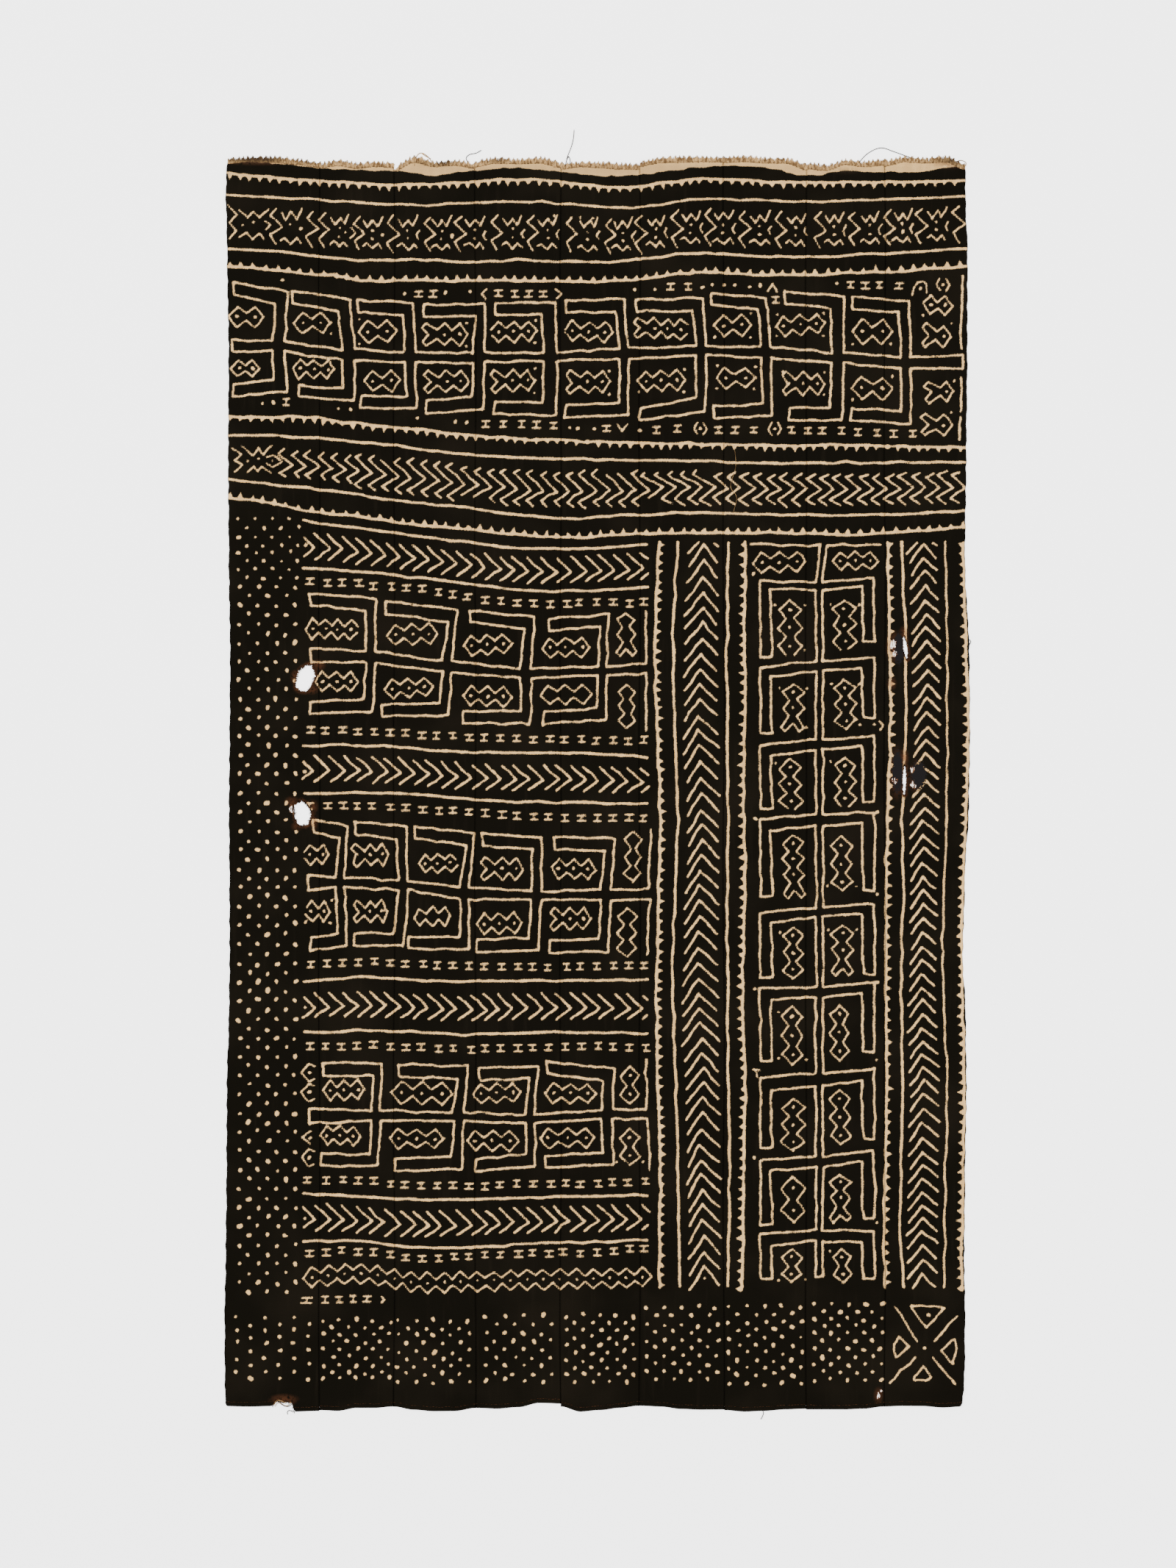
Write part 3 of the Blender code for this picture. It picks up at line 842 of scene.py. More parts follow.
def paint_butterflies(painter):
    """Butterflies with a brace between each pair."""
    painter.stroke(LEFT_BRACE, ZIGZAG_HALF)
    for k, x in enumerate(BUTTERFLY_X):
        y = between_lines("line_b", "line_d", x)
        shapes = (FIRST_TOP, FIRST_LOW) if k == 0 else (BUTTERFLY_TOP, BUTTERFLY_LOW)
        dots = 1 if k < ONE_DOT_UP_TO else 2
        paint_butterfly(painter, x, y, BUTTERFLY_SCALES.get(k, 1.0), *shapes, dots)
        if k in OUTWARD_TICKS:
            painter.motif(TICK_OUT, x, y + 1, ZIGZAG_HALF)
            painter.dot(x + OUTWARD_TICKS[k], y + 1, SMALL_DOT_HALF)
        elif k in DOTTED_CROWNS:
            painter.dot(x + 13, y + 2, BROAD_DOT_HALF)
        else:
            painter.motif(TICK, x, y, ZIGZAG_HALF)
    for x in BRACE_X:
        y = between_lines("line_b", "line_d", x)
        painter.motif(BRACE, x, y, ZIGZAG_HALF, x_range=(0, WIDE_RIGHT))
    for x, y in BUTTERFLY_SPOTS:
        painter.dot(x, y, SMALL_DOT_HALF)


def paint_serif_chevrons(painter):
    """Four opening strokes, then chevrons with small feet, close together."""
    for shape in SERIF_OPENING:
        painter.stroke(shape, ZIGZAG_HALF)
    for x, y, half in SERIF_OPENING_DOTS:
        painter.dot(x, y, half)
    x = SERIF_START
    while x < WIDE_RIGHT + 1:
        y = between_lines("line_g", "line_i", x) + 2
        shape = next(points for limit, points in SERIFS if x < limit)
        if any(low < x < high for low, high in NO_SERIF_ABOVE):
            shape = shape[1:]
        if any(low < x < high for low, high in NO_SERIF_BELOW):
            shape = shape[:-1]
        painter.motif(shape, x, y, SERIF_HALF, SERIF_SCALE)
        x += SERIF_PITCH * painter.hand.uniform(0.97, 1.03)


def paint_bar(painter, x, y, grow=1.0):
    """A short upright with a foot and a head."""
    wide = painter.hand.uniform(*BAR_WIDE) * grow
    tall = painter.hand.uniform(*BAR_TALL)
    lean = painter.hand.normal(0, 0.8)
    pieces = (
        # one end, the other end, share of a bar's half width
        ((x - wide, y - tall), (x + wide, y - tall - 0.4), 1.0),
        ((x, y - tall), (x + lean, y + tall), 0.85),
        ((x - wide + lean, y + tall), (x + wide + lean, y + tall), 1.0),
    )
    for a, b, share in pieces:
        painter.segment(np.array(a), np.array(b), BAR_HALF * share, BAR_HALF * share)


def paint_mark(painter, kind, x, y):
    """One of the small marks that fill what was left between bands."""
    if kind in BAR_GROWTH:
        paint_bar(painter, x, y, BAR_GROWTH[kind])
        return
    strokes, dots = MARK_SHAPES[kind]
    for stroke in strokes:
        painter.stroke([(x + dx, y + dy) for dx, dy in stroke], ZIGZAG_HALF)
    for dx, dy, half in dots:
        painter.dot(x + dx, y + dy, half)


def spaced(painter, first, last, pitch, past=0):
    """Places a little unevenly spaced from first to last, and as many past it."""
    count = int(round((last - first) / pitch))
    step = (last - first) / count
    return [first + step * (k + painter.hand.normal(0, 0.05)) for k in range(count + 1 + past)]


def paint_panel(painter):
    """The middle panel's lines, chevrons, bars and row of lozenges."""
    for values in PANEL_LINES.values():
        paint_line(painter, lambda x: x, lambda x: panel_y(values, x), PANEL_LEFT, PANEL_RIGHT)
    for upper, lower in PANEL_CHEVRONS:
        for x in spaced(painter, PANEL_LEFT + 16, PANEL_RIGHT - 10, CHEVRON_PITCH, 1):
            y = 0.5 * (panel_y(PANEL_LINES[upper], x) + panel_y(PANEL_LINES[lower], x))
            painter.motif(PLAIN_CHEVRON, x, y + PLAIN_CHEVRON_LOW, CHEVRON_HALF,
                          x_range=(PANEL_LEFT - 2, PANEL_RIGHT))
    for values in PANEL_BARS:
        for x in spaced(painter, PANEL_LEFT + 9, PANEL_RIGHT - 7, BAR_PITCH):
            paint_bar(painter, x, panel_y(values, x) + painter.hand.normal(0, 0.8))
    paint_lozenge_row(painter)


def paint_lozenge_row(painter):
    """A row of joined lozenges with a dot in each, under the middle panel."""
    count = int((PANEL_RIGHT + 2 - PANEL_LEFT) / LOZENGE_ROW_PITCH)
    pitch = (PANEL_RIGHT + 2 - PANEL_LEFT) / count
    for side in (-1, 1):
        points = []
        for k in range(2 * count + 1):
            x = PANEL_LEFT + k * pitch / 2
            rise = LOZENGE_ROW_RISE if k % 2 else LOZENGE_ROW_WAIST
            if k in (0, 2 * count):
                rise = 0.0
            points.append((x, panel_y(LOZENGE_ROW, x) + side * rise))
        painter.stroke(points, LOZENGE_HALF)
    for k in range(count):
        x = PANEL_LEFT + (k + 0.5) * pitch
        painter.dot(x, panel_y(LOZENGE_ROW, x), SMALL_DOT_HALF)


def hook_line(hooks, upper, start, end):
    """The pale line round one side of a hooked band, from its left end to its right end."""
    points = list(start)
    deep = HEAD_DEEP if upper else -HEAD_DEEP
    for row in hooks:
        left, right = row[:2]
        tip, at_tip, at_root, trunk, lean = (row[k] for k in HOOK_COLUMNS[upper])
        points.append((left - 1, trunk))
        points.append((left - 1 + lean, at_root + deep))
        points.append((tip + 1, at_tip + deep))
        points.append((tip, at_tip))
        points.append((right + lean, at_root))
        points.append((right, trunk))
    return points + list(end)


def paint_hooks(painter):
    """The hooked band across the top and the three of the panel."""
    for hooks, upper_start, upper_end, lower_start, lower_end in HOOK_BANDS:
        painter.stroke(hook_line(hooks, True, upper_start, upper_end), HOOK_HALF)
        painter.stroke(hook_line(hooks, False, lower_start, lower_end), HOOK_HALF)
    for x, top, foot in HOOK_END_BARS:
        painter.stroke([(x, top), (x - 1, foot)], HOOK_HALF)


def paint_upright_hooks(painter):
    """The hooked band turned upright, from the top down both sides of its trunk."""
    sides = (
        (UPRIGHT_TRUNK[0], UPRIGHT_LEFT, 2, 4, (1022, 740)),
        (UPRIGHT_TRUNK[1], UPRIGHT_RIGHT, 3, 5, (1200, 740)),
    )
    for trunk, (outer, inner), rise, foot, start in sides:
        points = [start, (trunk + 5, 742)]
        for row in UPRIGHT_HOOKS:
            upper, lower, lean = row[0], row[1], row[rise]
            points.append((trunk, upper))
            points.append((outer, upper + lean))
            points.append((outer + 1, row[foot]))
            points.append((inner + 2, row[foot] - 1))
            points.append((inner, lower + lean))
            points.append((trunk, lower))
        points.append((trunk, 1737))
        painter.stroke(points, HOOK_HALF)
    painter.stroke([(UPRIGHT_TRUNK[0], 1737), (UPRIGHT_TRUNK[1] + 3, 1736)], HOOK_HALF)


def chain_side(count, long, half, side, tail, topless):
    """One zigzag side of a lozenge chain, from its tail to its head, as (along, across)."""
    pitch = long / count
    waist = 0.32 * half
    points = [(-long / 2, 0.0)]
    if tail == "open":
        points = [(-long / 2, side * waist)]
    if tail == "forked":
        points = [(-long / 2 + 0.45 * pitch, 0.0), (-long / 2, side * 0.62 * half),
                  (-long / 2 + 0.28 * pitch, side * half * 1.05)]
    for k in range(count):
        if not (k == 0 and tail == "forked"):
            points.append((-long / 2 + (k + 0.5) * pitch, side * half))
        if k < count - 1:
            points.append((-long / 2 + (k + 1) * pitch, side * waist))
    points.append((long / 2, side * waist if topless else 0.0))
    return points


def paint_chain(painter, x, y, count, long, half, kind, corners):
    """A chain of lozenges in its cell, lying along the band or standing up."""
    upright = "upright" in kind
    tail = "forked" if "forked" in kind else "open" if "open" in kind else "closed"
    tilt = painter.hand.normal(0, 0.03)

    def place(along, across):
        along, across = along - tilt * across, across + tilt * along
        return (x + across, y - along) if upright else (x + along, y + across)

    for side in (-1, 1):
        shape = chain_side(count, long, half, side, tail, "topless" in kind)
        painter.stroke([place(*point) for point in shape], LOZENGE_HALF)
    if "empty" not in kind:
        first = 1 if tail == "forked" else 0
        for k in range(first, count):
            painter.dot(*place(-long / 2 + (k + 0.5) * long / count, 0.0), 2.3)
    wide, high = (half + 6, long / 2 + 1) if upright else (long / 2 + 2, half + 5)
    for corner in corners:
        dx = wide if corner in "bd" else -wide
        dy = high if corner in "cd" else -high
        painter.dot(x + dx * 0.9, y + dy * 0.8, 2.1)


def paint_open_lozenges(painter):
    """The small lozenges left open at the left end of the third hooked band."""
    for x, y in OPEN_LOZENGES:
        painter.stroke([(x + dx, y + dy) for dx, dy in OPEN_LOZENGE], LOZENGE_HALF)
        painter.dot(x + 1, y, 2.5)
    painter.stroke(OPEN_WEDGE, LOZENGE_HALF)
    painter.dot(*OPEN_WEDGE_DOT)


def paint_uprights(painter):
    """Lines, combs and columns of chevrons that run down the right-hand side."""
    start, end = UPRIGHT_Y[0], UPRIGHT_Y[-1]
    for name, values in UPRIGHT_LINES.items():
        half = FINE_LINES.get(name, LINE_HALF)
        paint_line(painter, lambda y: upright_x(values, y), lambda y: y, start, end, half)
    for side, pitch, values in UPRIGHT_COMBS.values():
        paint_line(painter, lambda y: upright_x(values, y), lambda y: y, start, end)
        paint_teeth(painter, start + 4, end - 2, pitch,
                    lambda y: (upright_x(values, y) + 2 * side, y), (side, 0))
    for pitch, sides, clear, drop, dotted, values in UPRIGHT_CHEVRONS:
        y = start + 4.0
        while y < end - 18:
            x = float(upright_x(values, y)) + painter.hand.normal(0, 0.8)
            left = float(upright_x(UPRIGHT_LINES[sides[0]], y)) + clear[0]
            right = float(upright_x(UPRIGHT_LINES[sides[1]], y)) - clear[1]
            shape = ((left - x, drop[0]), (0, 0), (right - x, drop[1]))
            painter.motif(shape, x, y, CHEVRON_HALF, y_range=(start, end))
            y += pitch * painter.hand.uniform(0.92, 1.08)
        if dotted:
            painter.dot(x, y + 16 - pitch, 1.9)
        for arm in CUT_ARMS:
            painter.motif(arm, x, start, CHEVRON_HALF)


def paint_field(painter, left, right, top, bottom, column, row, half=DOT_HALF, shake=0.7):
    """Dots in staggered columns, none quite in line."""
    count = max(1, int(round((right - left) / column)))
    drift = painter.hand.normal(0, 0.6, 80)
    for k in range(count + 1):
        x = left + (right - left) * k / count
        ceiling = max(top, float(wide_y("comb_j", x)) + 14)
        y, number = top + (row / 2 if k % 2 else 0.0), 0
        while y <= bottom + 1:
            jitter = painter.hand.normal(0, shake, 2)
            if y >= ceiling:
                size = half * painter.hand.uniform(0.86, 1.1)
                painter.dot(x + jitter[0], y + drift[number] + jitter[1], size)
            y += row
            number += 1


def paint_star(painter):
    """The crossed square at the hem's right corner."""
    for bar in STAR_BARS:
        painter.stroke(bar, STAR_HALF)
    for wedge in STAR_WEDGES:
        painter.stroke(wedge, STAR_HALF, closed=True)
    for x, y in STAR_DOTS:
        painter.dot(x, y, 2.7)


def painted_cloth():
    """The whole pattern."""
    painter = Painter(seed=11)
    painter.undyed()
    paint_wide_bands(painter)
    paint_panel(painter)
    paint_hooks(painter)
    paint_upright_hooks(painter)
    for row in CHAINS:
        paint_chain(painter, *row)
    paint_open_lozenges(painter)
    paint_uprights(painter)
    for kind, x, y in MARKS:
        paint_mark(painter, kind, x, y)
    for field, grow in zip(LEFT_FIELDS, LEFT_FIELD_GROWTH):
        paint_field(painter, *field, half=DOT_HALF * grow)
    for block in HEM_BLOCKS:
        paint_field(painter, *block, shake=1.0)
    paint_star(painter)
    return painter


def stain_at(kind, x_mm, y_mm):
    """How stained each place is by one kind of stain, 0 to 1."""
    x, y = x_mm / PX + CLOTH_MIDDLE_X, CLOTH_MIDDLE_Y - y_mm / PX
    stained = np.zeros(len(x))
    for own_kind, middle_x, middle_y, wide, high, strength in STAINS:
        if own_kind == kind:
            away = np.hypot((x - middle_x) / wide, (y - middle_y) / high)
            stained = np.maximum(stained, strength * np.clip(1.25 - away, 0, 1))
    return np.minimum(stained, 1)


def singed(x, y):
    """How close each place lies to a worn hole's rim, 0 to 1."""
    close = np.zeros(len(x))
    for hole in HOLES:
        for rim_x, rim_y in rim_points(hole)[::2]:
            away = np.hypot(x - rim_x, y - rim_y) / RIM_BROWN
            close = np.maximum(close, np.clip(1.2 - away, 0, 1))
    return close


def eased(places, values, at):
    """The part's own curve through a table, level at each of its places."""
    places, values = np.asarray(places, float), np.asarray(values, float)
    i = np.clip(np.searchsorted(places, at, side="right") - 1, 0, len(places) - 2)
    t = np.clip((at - places[i]) / (places[i + 1] - places[i]), 0, 1)
    return values[i] + (values[i + 1] - values[i]) * t * t * (3 - 2 * t)


def scallop(y):
    """How far the weft's turns stand out of a selvedge, in millimetres."""
    return 0.4 * (1 + np.sin(y / 5.3 + 2 * np.sin(y / 31.0))) + 0.2 * (1 + np.sin(y / 2.1))


def seam_line(number, y):
    """x of the seam to the left of strip number + 1. 0 and 9 are the selvedges."""
    along = (y + LENGTH / 2) / LENGTH
    places = [row[0] for row in SELVEDGE_INSET]
    if number == 0:
        return -WIDTH / 2 + eased(places, [row[1] for row in SELVEDGE_INSET], along) - scallop(y)
    if number == len(STRIP_WIDE):
        return WIDTH / 2 - eased(places, [row[2] for row in SELVEDGE_INSET], along) + scallop(y + 5)
    straight = -WIDTH / 2 + sum(STRIP_WIDE[:number])
    return straight + SEAM_WANDER * np.sin(2 * math.pi * y / SEAM_WAVE_LONG + 2.1 * number)


def end_inset(table, number, share):
    """How far a strip's end lies inside the longest line, at shares of its width."""
    return eased(np.linspace(0, 1, 5), table[number - 1], share)


def bitten(across):
    """How far the bite in the hem reaches up, at distances from the left selvedge."""
    return np.interp(across, [row[0] for row in HEM_BITE], [row[1] for row in HEM_BITE], left=0, right=0)


def relief(x, y):
    """Height of the cloth's underside above the surface, as in the part's solids."""
    high = np.zeros(np.shape(x))
    for middle_x, middle_y, heading, half_long, half_wide, ridge_high in RIDGES:
        cos, sin = math.cos(math.radians(heading)), math.sin(math.radians(heading))
        along = ((x - middle_x) * cos + (y - middle_y) * sin) / half_long
        across = ((y - middle_y) * cos - (x - middle_x) * sin) / half_wide
        ridge = np.clip(1 - along ** 2, 0, 1) ** 2 * np.clip(1 - across ** 2, 0, 1) ** 2
        high = np.maximum(high, ridge_high * ridge)
    return high


def thickness(y):
    """The hem is turned over once, so it is thicker there."""
    t = np.clip((y + LENGTH / 2 - 1.6 * HEM_WIDE) / (1.5 * HEM_WIDE), 0, 1)
    return HEM_THICK + (CLOTH_THICK - HEM_THICK) * t * t * (3 - 2 * t)


def rim_points(hole):
    """A worn hole's ragged rim, anticlockwise."""
    middle_x, middle_y, half_wide, half_long, lean, lobe, lobe_turn = hole[1:]
    turn = np.linspace(0, 2 * math.pi, RIM_STEPS, endpoint=False)
    swell = 1 + lobe * np.cos(2 * turn - math.radians(lobe_turn))
    swell += 0.6 * lobe * np.cos(5 * turn + math.radians(lobe_turn))
    swell += 0.030 * np.sin(13 * turn + lean) + 0.026 * np.sin(19 * turn + middle_y)
    across, up = half_wide * swell * np.cos(turn), half_long * swell * np.sin(turn)
    cos, sin = math.cos(math.radians(lean)), math.sin(math.radians(lean))
    return np.column_stack([middle_x + across * cos + up * sin, middle_y + up * cos - across * sin])


def inside(places, outline):
    """Which places lie inside a closed outline."""
    x, y = places[:, 0], places[:, 1]
    within = np.zeros(len(places), bool)
    for (ax, ay), (bx, by) in zip(outline, np.roll(outline, -1, axis=0)):
        if ay != by:
            within ^= ((ay > y) != (by > y)) & (x < ax + (y - ay) * (bx - ax) / (by - ay))
    return within


def clear_of(places, outlines, gap):
    """Which places lie outside every outline, and further than a gap from its points."""
    clear = np.ones(len(places), bool)
    for outline in outlines:
        clear &= ~inside(places, outline)
        for x, y in outline if gap > 0 else ():
            clear &= (places[:, 0] - x) ** 2 + (places[:, 1] - y) ** 2 > gap * gap
    return clear


def corner_rise(number, share):
    """How far the hem rises where its two outer corners are rounded."""
    wide = STRIP_WIDE[number - 1]
    outer = {1: share * wide, len(STRIP_WIDE): (1 - share) * wide}.get(number, share + wide)
    cut = np.clip(CORNER_ROUND - outer, 0, CORNER_ROUND)
    return CORNER_ROUND - np.sqrt(CORNER_ROUND ** 2 - cut ** 2)


def strip_grid(number):
    """The face's grid points for one strip, rows from the hem up, columns left to right."""
    columns = int(round(STRIP_WIDE[number - 1] / FACE_STEP))
    rows = int(round(LENGTH / FACE_STEP))
    share = np.linspace(0, 1, columns + 1)[None, :]
    level = np.linspace(-LENGTH / 2, LENGTH / 2, rows + 1)[:, None]
    near_hem = np.clip(1 - (level + LENGTH / 2) / EDGE_BLEND, 0, 1)
    near_raw = np.clip(1 - (LENGTH / 2 - level) / EDGE_BLEND, 0, 1)
    raw = end_inset(RAW_EDGE_INSET, number, share) + FRAY_DEEP
    hem = end_inset(HEM_INSET, number, share) + corner_rise(number, share)
    if number == 1:
        hem = np.maximum(hem, bitten(share * STRIP_WIDE[0]))
    y = level + hem * near_hem - raw * near_raw
    left, right = seam_line(number - 1, y), seam_line(number, y)
    x = left + (right - left) * share
    return x, y


def face_height(number, x, y):
    """The face's height: relief, thickness, a slight crown to each strip, and slubs."""
    rows, columns = x.shape
    share = np.linspace(0, 1, columns)[None, :]
    crown = np.sin(math.pi * share) * PUCKER
    crown = crown * (0.6 + 0.4 * np.sin(2 * math.pi * y / 61.0 + 1.7 * number))
    hand = np.random.default_rng(100 + number)
    warp_slubs = hand.normal(0, 0.045, columns)[None, :]
    weft_slubs = hand.normal(0, 0.055, rows)[:, None]
    grain = hand.normal(0, 0.03, (rows, columns))
    return relief(x, y) + thickness(y) + crown + warp_slubs + weft_slubs + grain


def open_edges(quads, count):
    """Edges that only one quad has."""
    pairs = np.concatenate([quads[:, [k, (k + 1) % 4]] for k in range(4)])
    code = pairs.min(1).astype(np.int64) * count + pairs.max(1)
    _, first, times = np.unique(code, return_index=True, return_counts=True)
    return pairs[first[times == 1]]


def filled(flat, edges, loose, rims):
    """Triangles between closed outlines and over loose points, leaving the holes open."""
    chosen = np.concatenate([np.unique(edges), loose]).astype(int)
    place = {int(v): k for k, v in enumerate(chosen)}
    local = [(place[int(a)], place[int(b)]) for a, b in edges]
    made = geometry.delaunay_2d_cdt([Vector(p) for p in flat[chosen]], local, [], 1, 1e-6)
    own = chosen[[origin[0] for origin in made[3]]]
    triangles = own[np.array(made[2])]
    triangles = triangles[clear_of(flat[triangles].mean(1), rims, 0)]
    side_a = flat[triangles[:, 1]] - flat[triangles[:, 0]]
    side_b = flat[triangles[:, 2]] - flat[triangles[:, 0]]
    turned = side_a[:, 0] * side_b[:, 1] < side_a[:, 1] * side_b[:, 0]
    triangles[turned] = triangles[turned][:, ::-1]
    return triangles


def without_flaps(upper, lower):
    """Both faces' triangles without those that they share, which would have no thickness."""
    keys = [[tuple(sorted(triangle)) for triangle in side.tolist()] for side in (upper, lower)]
    shared = set(keys[0]) & set(keys[1])
    return [side[[key not in shared for key in own]] for side, own in zip((upper, lower), keys)]


def under_points(number, outline, rims):
    """Coarser points of the underside, kept clear of the strip's edges."""
    places = []
    for y in np.arange(-LENGTH / 2 + UNDER_STEP, LENGTH / 2, UNDER_STEP):
        left = float(seam_line(number - 1, y)) + 0.7 * UNDER_STEP
        right = float(seam_line(number, y)) - 0.6 * UNDER_STEP
        places += [(x, y) for x in np.arange(left, right, UNDER_STEP)]
    places = np.array(places)
    places = places[inside(places, outline)]
    for x, y in outline:
        places = places[(places[:, 0] - x) ** 2 + (places[:, 1] - y) ** 2 > UNDER_GAP ** 2]
    return places[clear_of(places, rims, UNDER_GAP)]


def face_quads(index, kept):
    """The face's quads whose four points are all kept."""
    quads = np.stack([index[:-1, :-1], index[:-1, 1:], index[1:, 1:], index[1:, :-1]], -1)
    return quads[kept[:-1, :-1] & kept[:-1, 1:] & kept[1:, 1:] & kept[1:, :-1]]


def edge_height(places, seams):
    """Height of a strip's edge, which is sunk less where a neighbour is sewn on."""
    return relief(*places.T) + thickness(places[:, 1]) * np.where(seams, SEAM_SINK, EDGE_SINK)


def loop_edges(numbers):
    """Edges of a closed loop of points."""
    return np.column_stack([numbers, np.roll(numbers, -1)])


def renumbered(quads, triangles):
    """The points that the faces use, and the faces by those points' new numbers."""
    used, numbers = np.unique(np.append(quads.ravel(), triangles.ravel()), return_inverse=True)
    return used, numbers[:quads.size].reshape(-1, 4), numbers[quads.size:].reshape(-1, 3)


def strip_mesh(number, painter):
    """One strip as a closed sheet, with its painted pattern as point values."""
    x, y = strip_grid(number)
    flat = np.column_stack([x.ravel(), y.ravel()])
    height = face_height(number, x, y).ravel()
    index = np.arange(x.size).reshape(x.shape)
    outline = np.concatenate([index[0, :-1], index[:-1, -1], index[-1, :0:-1], index[:0:-1, 0]])
    seams = np.isin(outline, index[EDGE_ROWS:-EDGE_ROWS, [0, -1]])
    height[outline] = edge_height(flat[outline], seams)
    rims = [rim_points(hole) for hole in HOLES if hole[0] == number]
    quads = face_quads(index, clear_of(flat, rims, RIM_GAP).reshape(x.shape))
    open_pairs = open_edges(quads, len(flat))
    inner_edges = open_pairs[~np.isin(open_pairs, outline).all(1)]
    rim_edges = np.zeros((0, 2), int)
    for rim in rims:
        rim_edges = np.concatenate([rim_edges, loop_edges(np.arange(len(flat), len(flat) + len(rim)))])
        flat = np.concatenate([flat, rim])
        height = np.append(height, edge_height(rim, False))
    start = len(flat)
    under = under_points(number, flat[outline], rims)
    flat = np.concatenate([flat, under])
    height = np.append(height, relief(*under.T))
    outer_edges = np.concatenate([loop_edges(outline), rim_edges])
    below = filled(flat, outer_edges, np.arange(start, len(flat)), rims)
    ring = np.zeros((0, 3), int)
    if rims:
        ring = filled(flat, np.concatenate([inner_edges, rim_edges]), [], rims)
        ring, below = without_flaps(ring, below)
    used, quads, triangles = renumbered(quads, np.concatenate([ring, below[:, ::-1]]))
    points = np.column_stack([flat, height])[used]
    mesh = bpy.data.meshes.new(f"cloth_strip_{number}")
    mesh.from_pydata((points * MM).tolist(), [], quads.tolist() + triangles.tolist())
    mesh.polygons.foreach_set("use_smooth", np.ones(len(mesh.polygons), bool))
    add_values(mesh, points, used >= start, painter)
    mesh.update()
    return mesh


def add_values(mesh, points, under, painter):
    """Point values that the materials read: paint, stains and underside."""
    x, y = points[:, :2].T
    values = {kind: stain_at(kind, x, y) for kind in ("rusty", "sooty", "darned", "tanned", "torn")}
    values["rusty"] = np.maximum(values["rusty"], singed(x, y))
    values["paint"] = painter.read(x, y)
    values["under"] = under.astype(float)
    for name, value in values.items():
        attribute = mesh.attributes.new(name, "FLOAT", "POINT")
        attribute.data.foreach_set("value", value.astype(np.float32))


class Nodes:
    """A short way to write a material's nodes."""

    def __init__(self, name):
        self.material = bpy.data.materials.new(name)
        self.material.use_nodes = True
        self.tree = self.material.node_tree
        self.shader = self.tree.nodes["Principled BSDF"]

    def feed(self, socket, value):
        """Links a socket to another node's output, or sets it to a plain value."""
        if isinstance(value, bpy.types.NodeSocket):
            self.tree.links.new(value, socket)
        else:
            socket.default_value = value

    def add(self, kind, settings=None, **inputs):
        """A node with its inputs by name, or by number as i0, i1 and so on."""
        node = self.tree.nodes.new(kind)
        for key, value in (settings or {}).items():
            setattr(node, key, value)
        for key, value in inputs.items():
            self.feed(node.inputs[int(key[1:]) if key[1:].isdigit() else key], value)
        return node

    def math(self, operation, a, b=0.0, c=0.0):
        """The result of one sum."""
        return self.add("ShaderNodeMath", {"operation": operation}, i0=a, i1=b, i2=c).outputs[0]

    def mix(self, share, a, b):
        """Colour a where the share is 0 and colour b where it is 1."""
        return self.add("ShaderNodeMix", {"data_type": "RGBA"}, i0=share, i6=a, i7=b).outputs[2]

    def ramp(self, value, low, high):
        """0 at low, 1 at high, eased between."""
        node = self.add("ShaderNodeMapRange", {"interpolation_type": "SMOOTHSTEP"},
                        i0=value, i1=low, i2=high, i3=0.0, i4=1.0)
        return node.outputs[0]

    def noise(self, scale, stretch=(1.0, 1.0, 1.0), detail=2.0):
        """Soft noise, 0 to 1, fixed to the cloth."""
        place = self.add("ShaderNodeTexCoord").outputs["Object"]
        mapped = self.add("ShaderNodeMapping", Vector=place, Scale=stretch).outputs[0]
        return self.add("ShaderNodeTexNoise", Vector=mapped, Scale=scale, Detail=detail).outputs[0]

    def value(self, name):
        """One of the mesh's point values."""
        return self.add("ShaderNodeAttribute", {"attribute_name": name}).outputs["Fac"]

    def set(self, **inputs):
        """Feeds the shader's own inputs."""
        for key, value in inputs.items():
            self.feed(self.shader.inputs[key.replace("_", " ")], value)


def weave_height(nodes):
    """A plain weave of uneven handspun yarn, 0 to about 1."""
    place = nodes.add("ShaderNodeTexCoord").outputs["Object"]
    wobble = nodes.add("ShaderNodeTexNoise", Vector=place, Scale=160.0, Detail=1.0).outputs[1]
    moved = nodes.add("ShaderNodeVectorMath", {"operation": "MULTIPLY_ADD"},
                      i0=wobble, i1=(0.0011, 0.0011, 0.0), i2=place).outputs[0]
    split = nodes.add("ShaderNodeSeparateXYZ", Vector=moved)

    def wave(axis, per_m):
        return nodes.math("SINE", nodes.math("MULTIPLY", split.outputs[axis], math.pi * per_m))

    over = nodes.math("MULTIPLY", wave(0, WARP_PER_M), wave(1, WEFT_PER_M))
    warp = nodes.math("MULTIPLY", wave(0, 2 * WARP_PER_M), 0.2)
    weft = nodes.math("MULTIPLY", wave(1, 2 * WEFT_PER_M), 0.2)
    ribs = nodes.math("ADD", warp, weft)
    return nodes.math("ADD", nodes.math("MULTIPLY", over, 0.5), ribs)


def dyed_share(nodes):
    """0 on a pale stroke and 1 on the mud, with a ragged edge, and the halo beside the stroke."""
    ragged = nodes.math("MULTIPLY", nodes.math("SUBTRACT", nodes.noise(620.0, detail=3.0), 0.5), 1.9)
    fibres = nodes.noise(500.0, (1.8, 0.35, 1.0))
    fibres = nodes.math("MULTIPLY", nodes.math("SUBTRACT", fibres, 0.5), 0.9)
    paint = nodes.math("ADD", nodes.math("ADD", nodes.value("paint"), ragged), fibres)
    paint = nodes.math("ADD", paint, DYE_CREEP)
    halo = nodes.math("SUBTRACT", 1.0, nodes.ramp(paint, 0.15, 0.8))
    return nodes.ramp(paint, -0.42, 0.42), halo


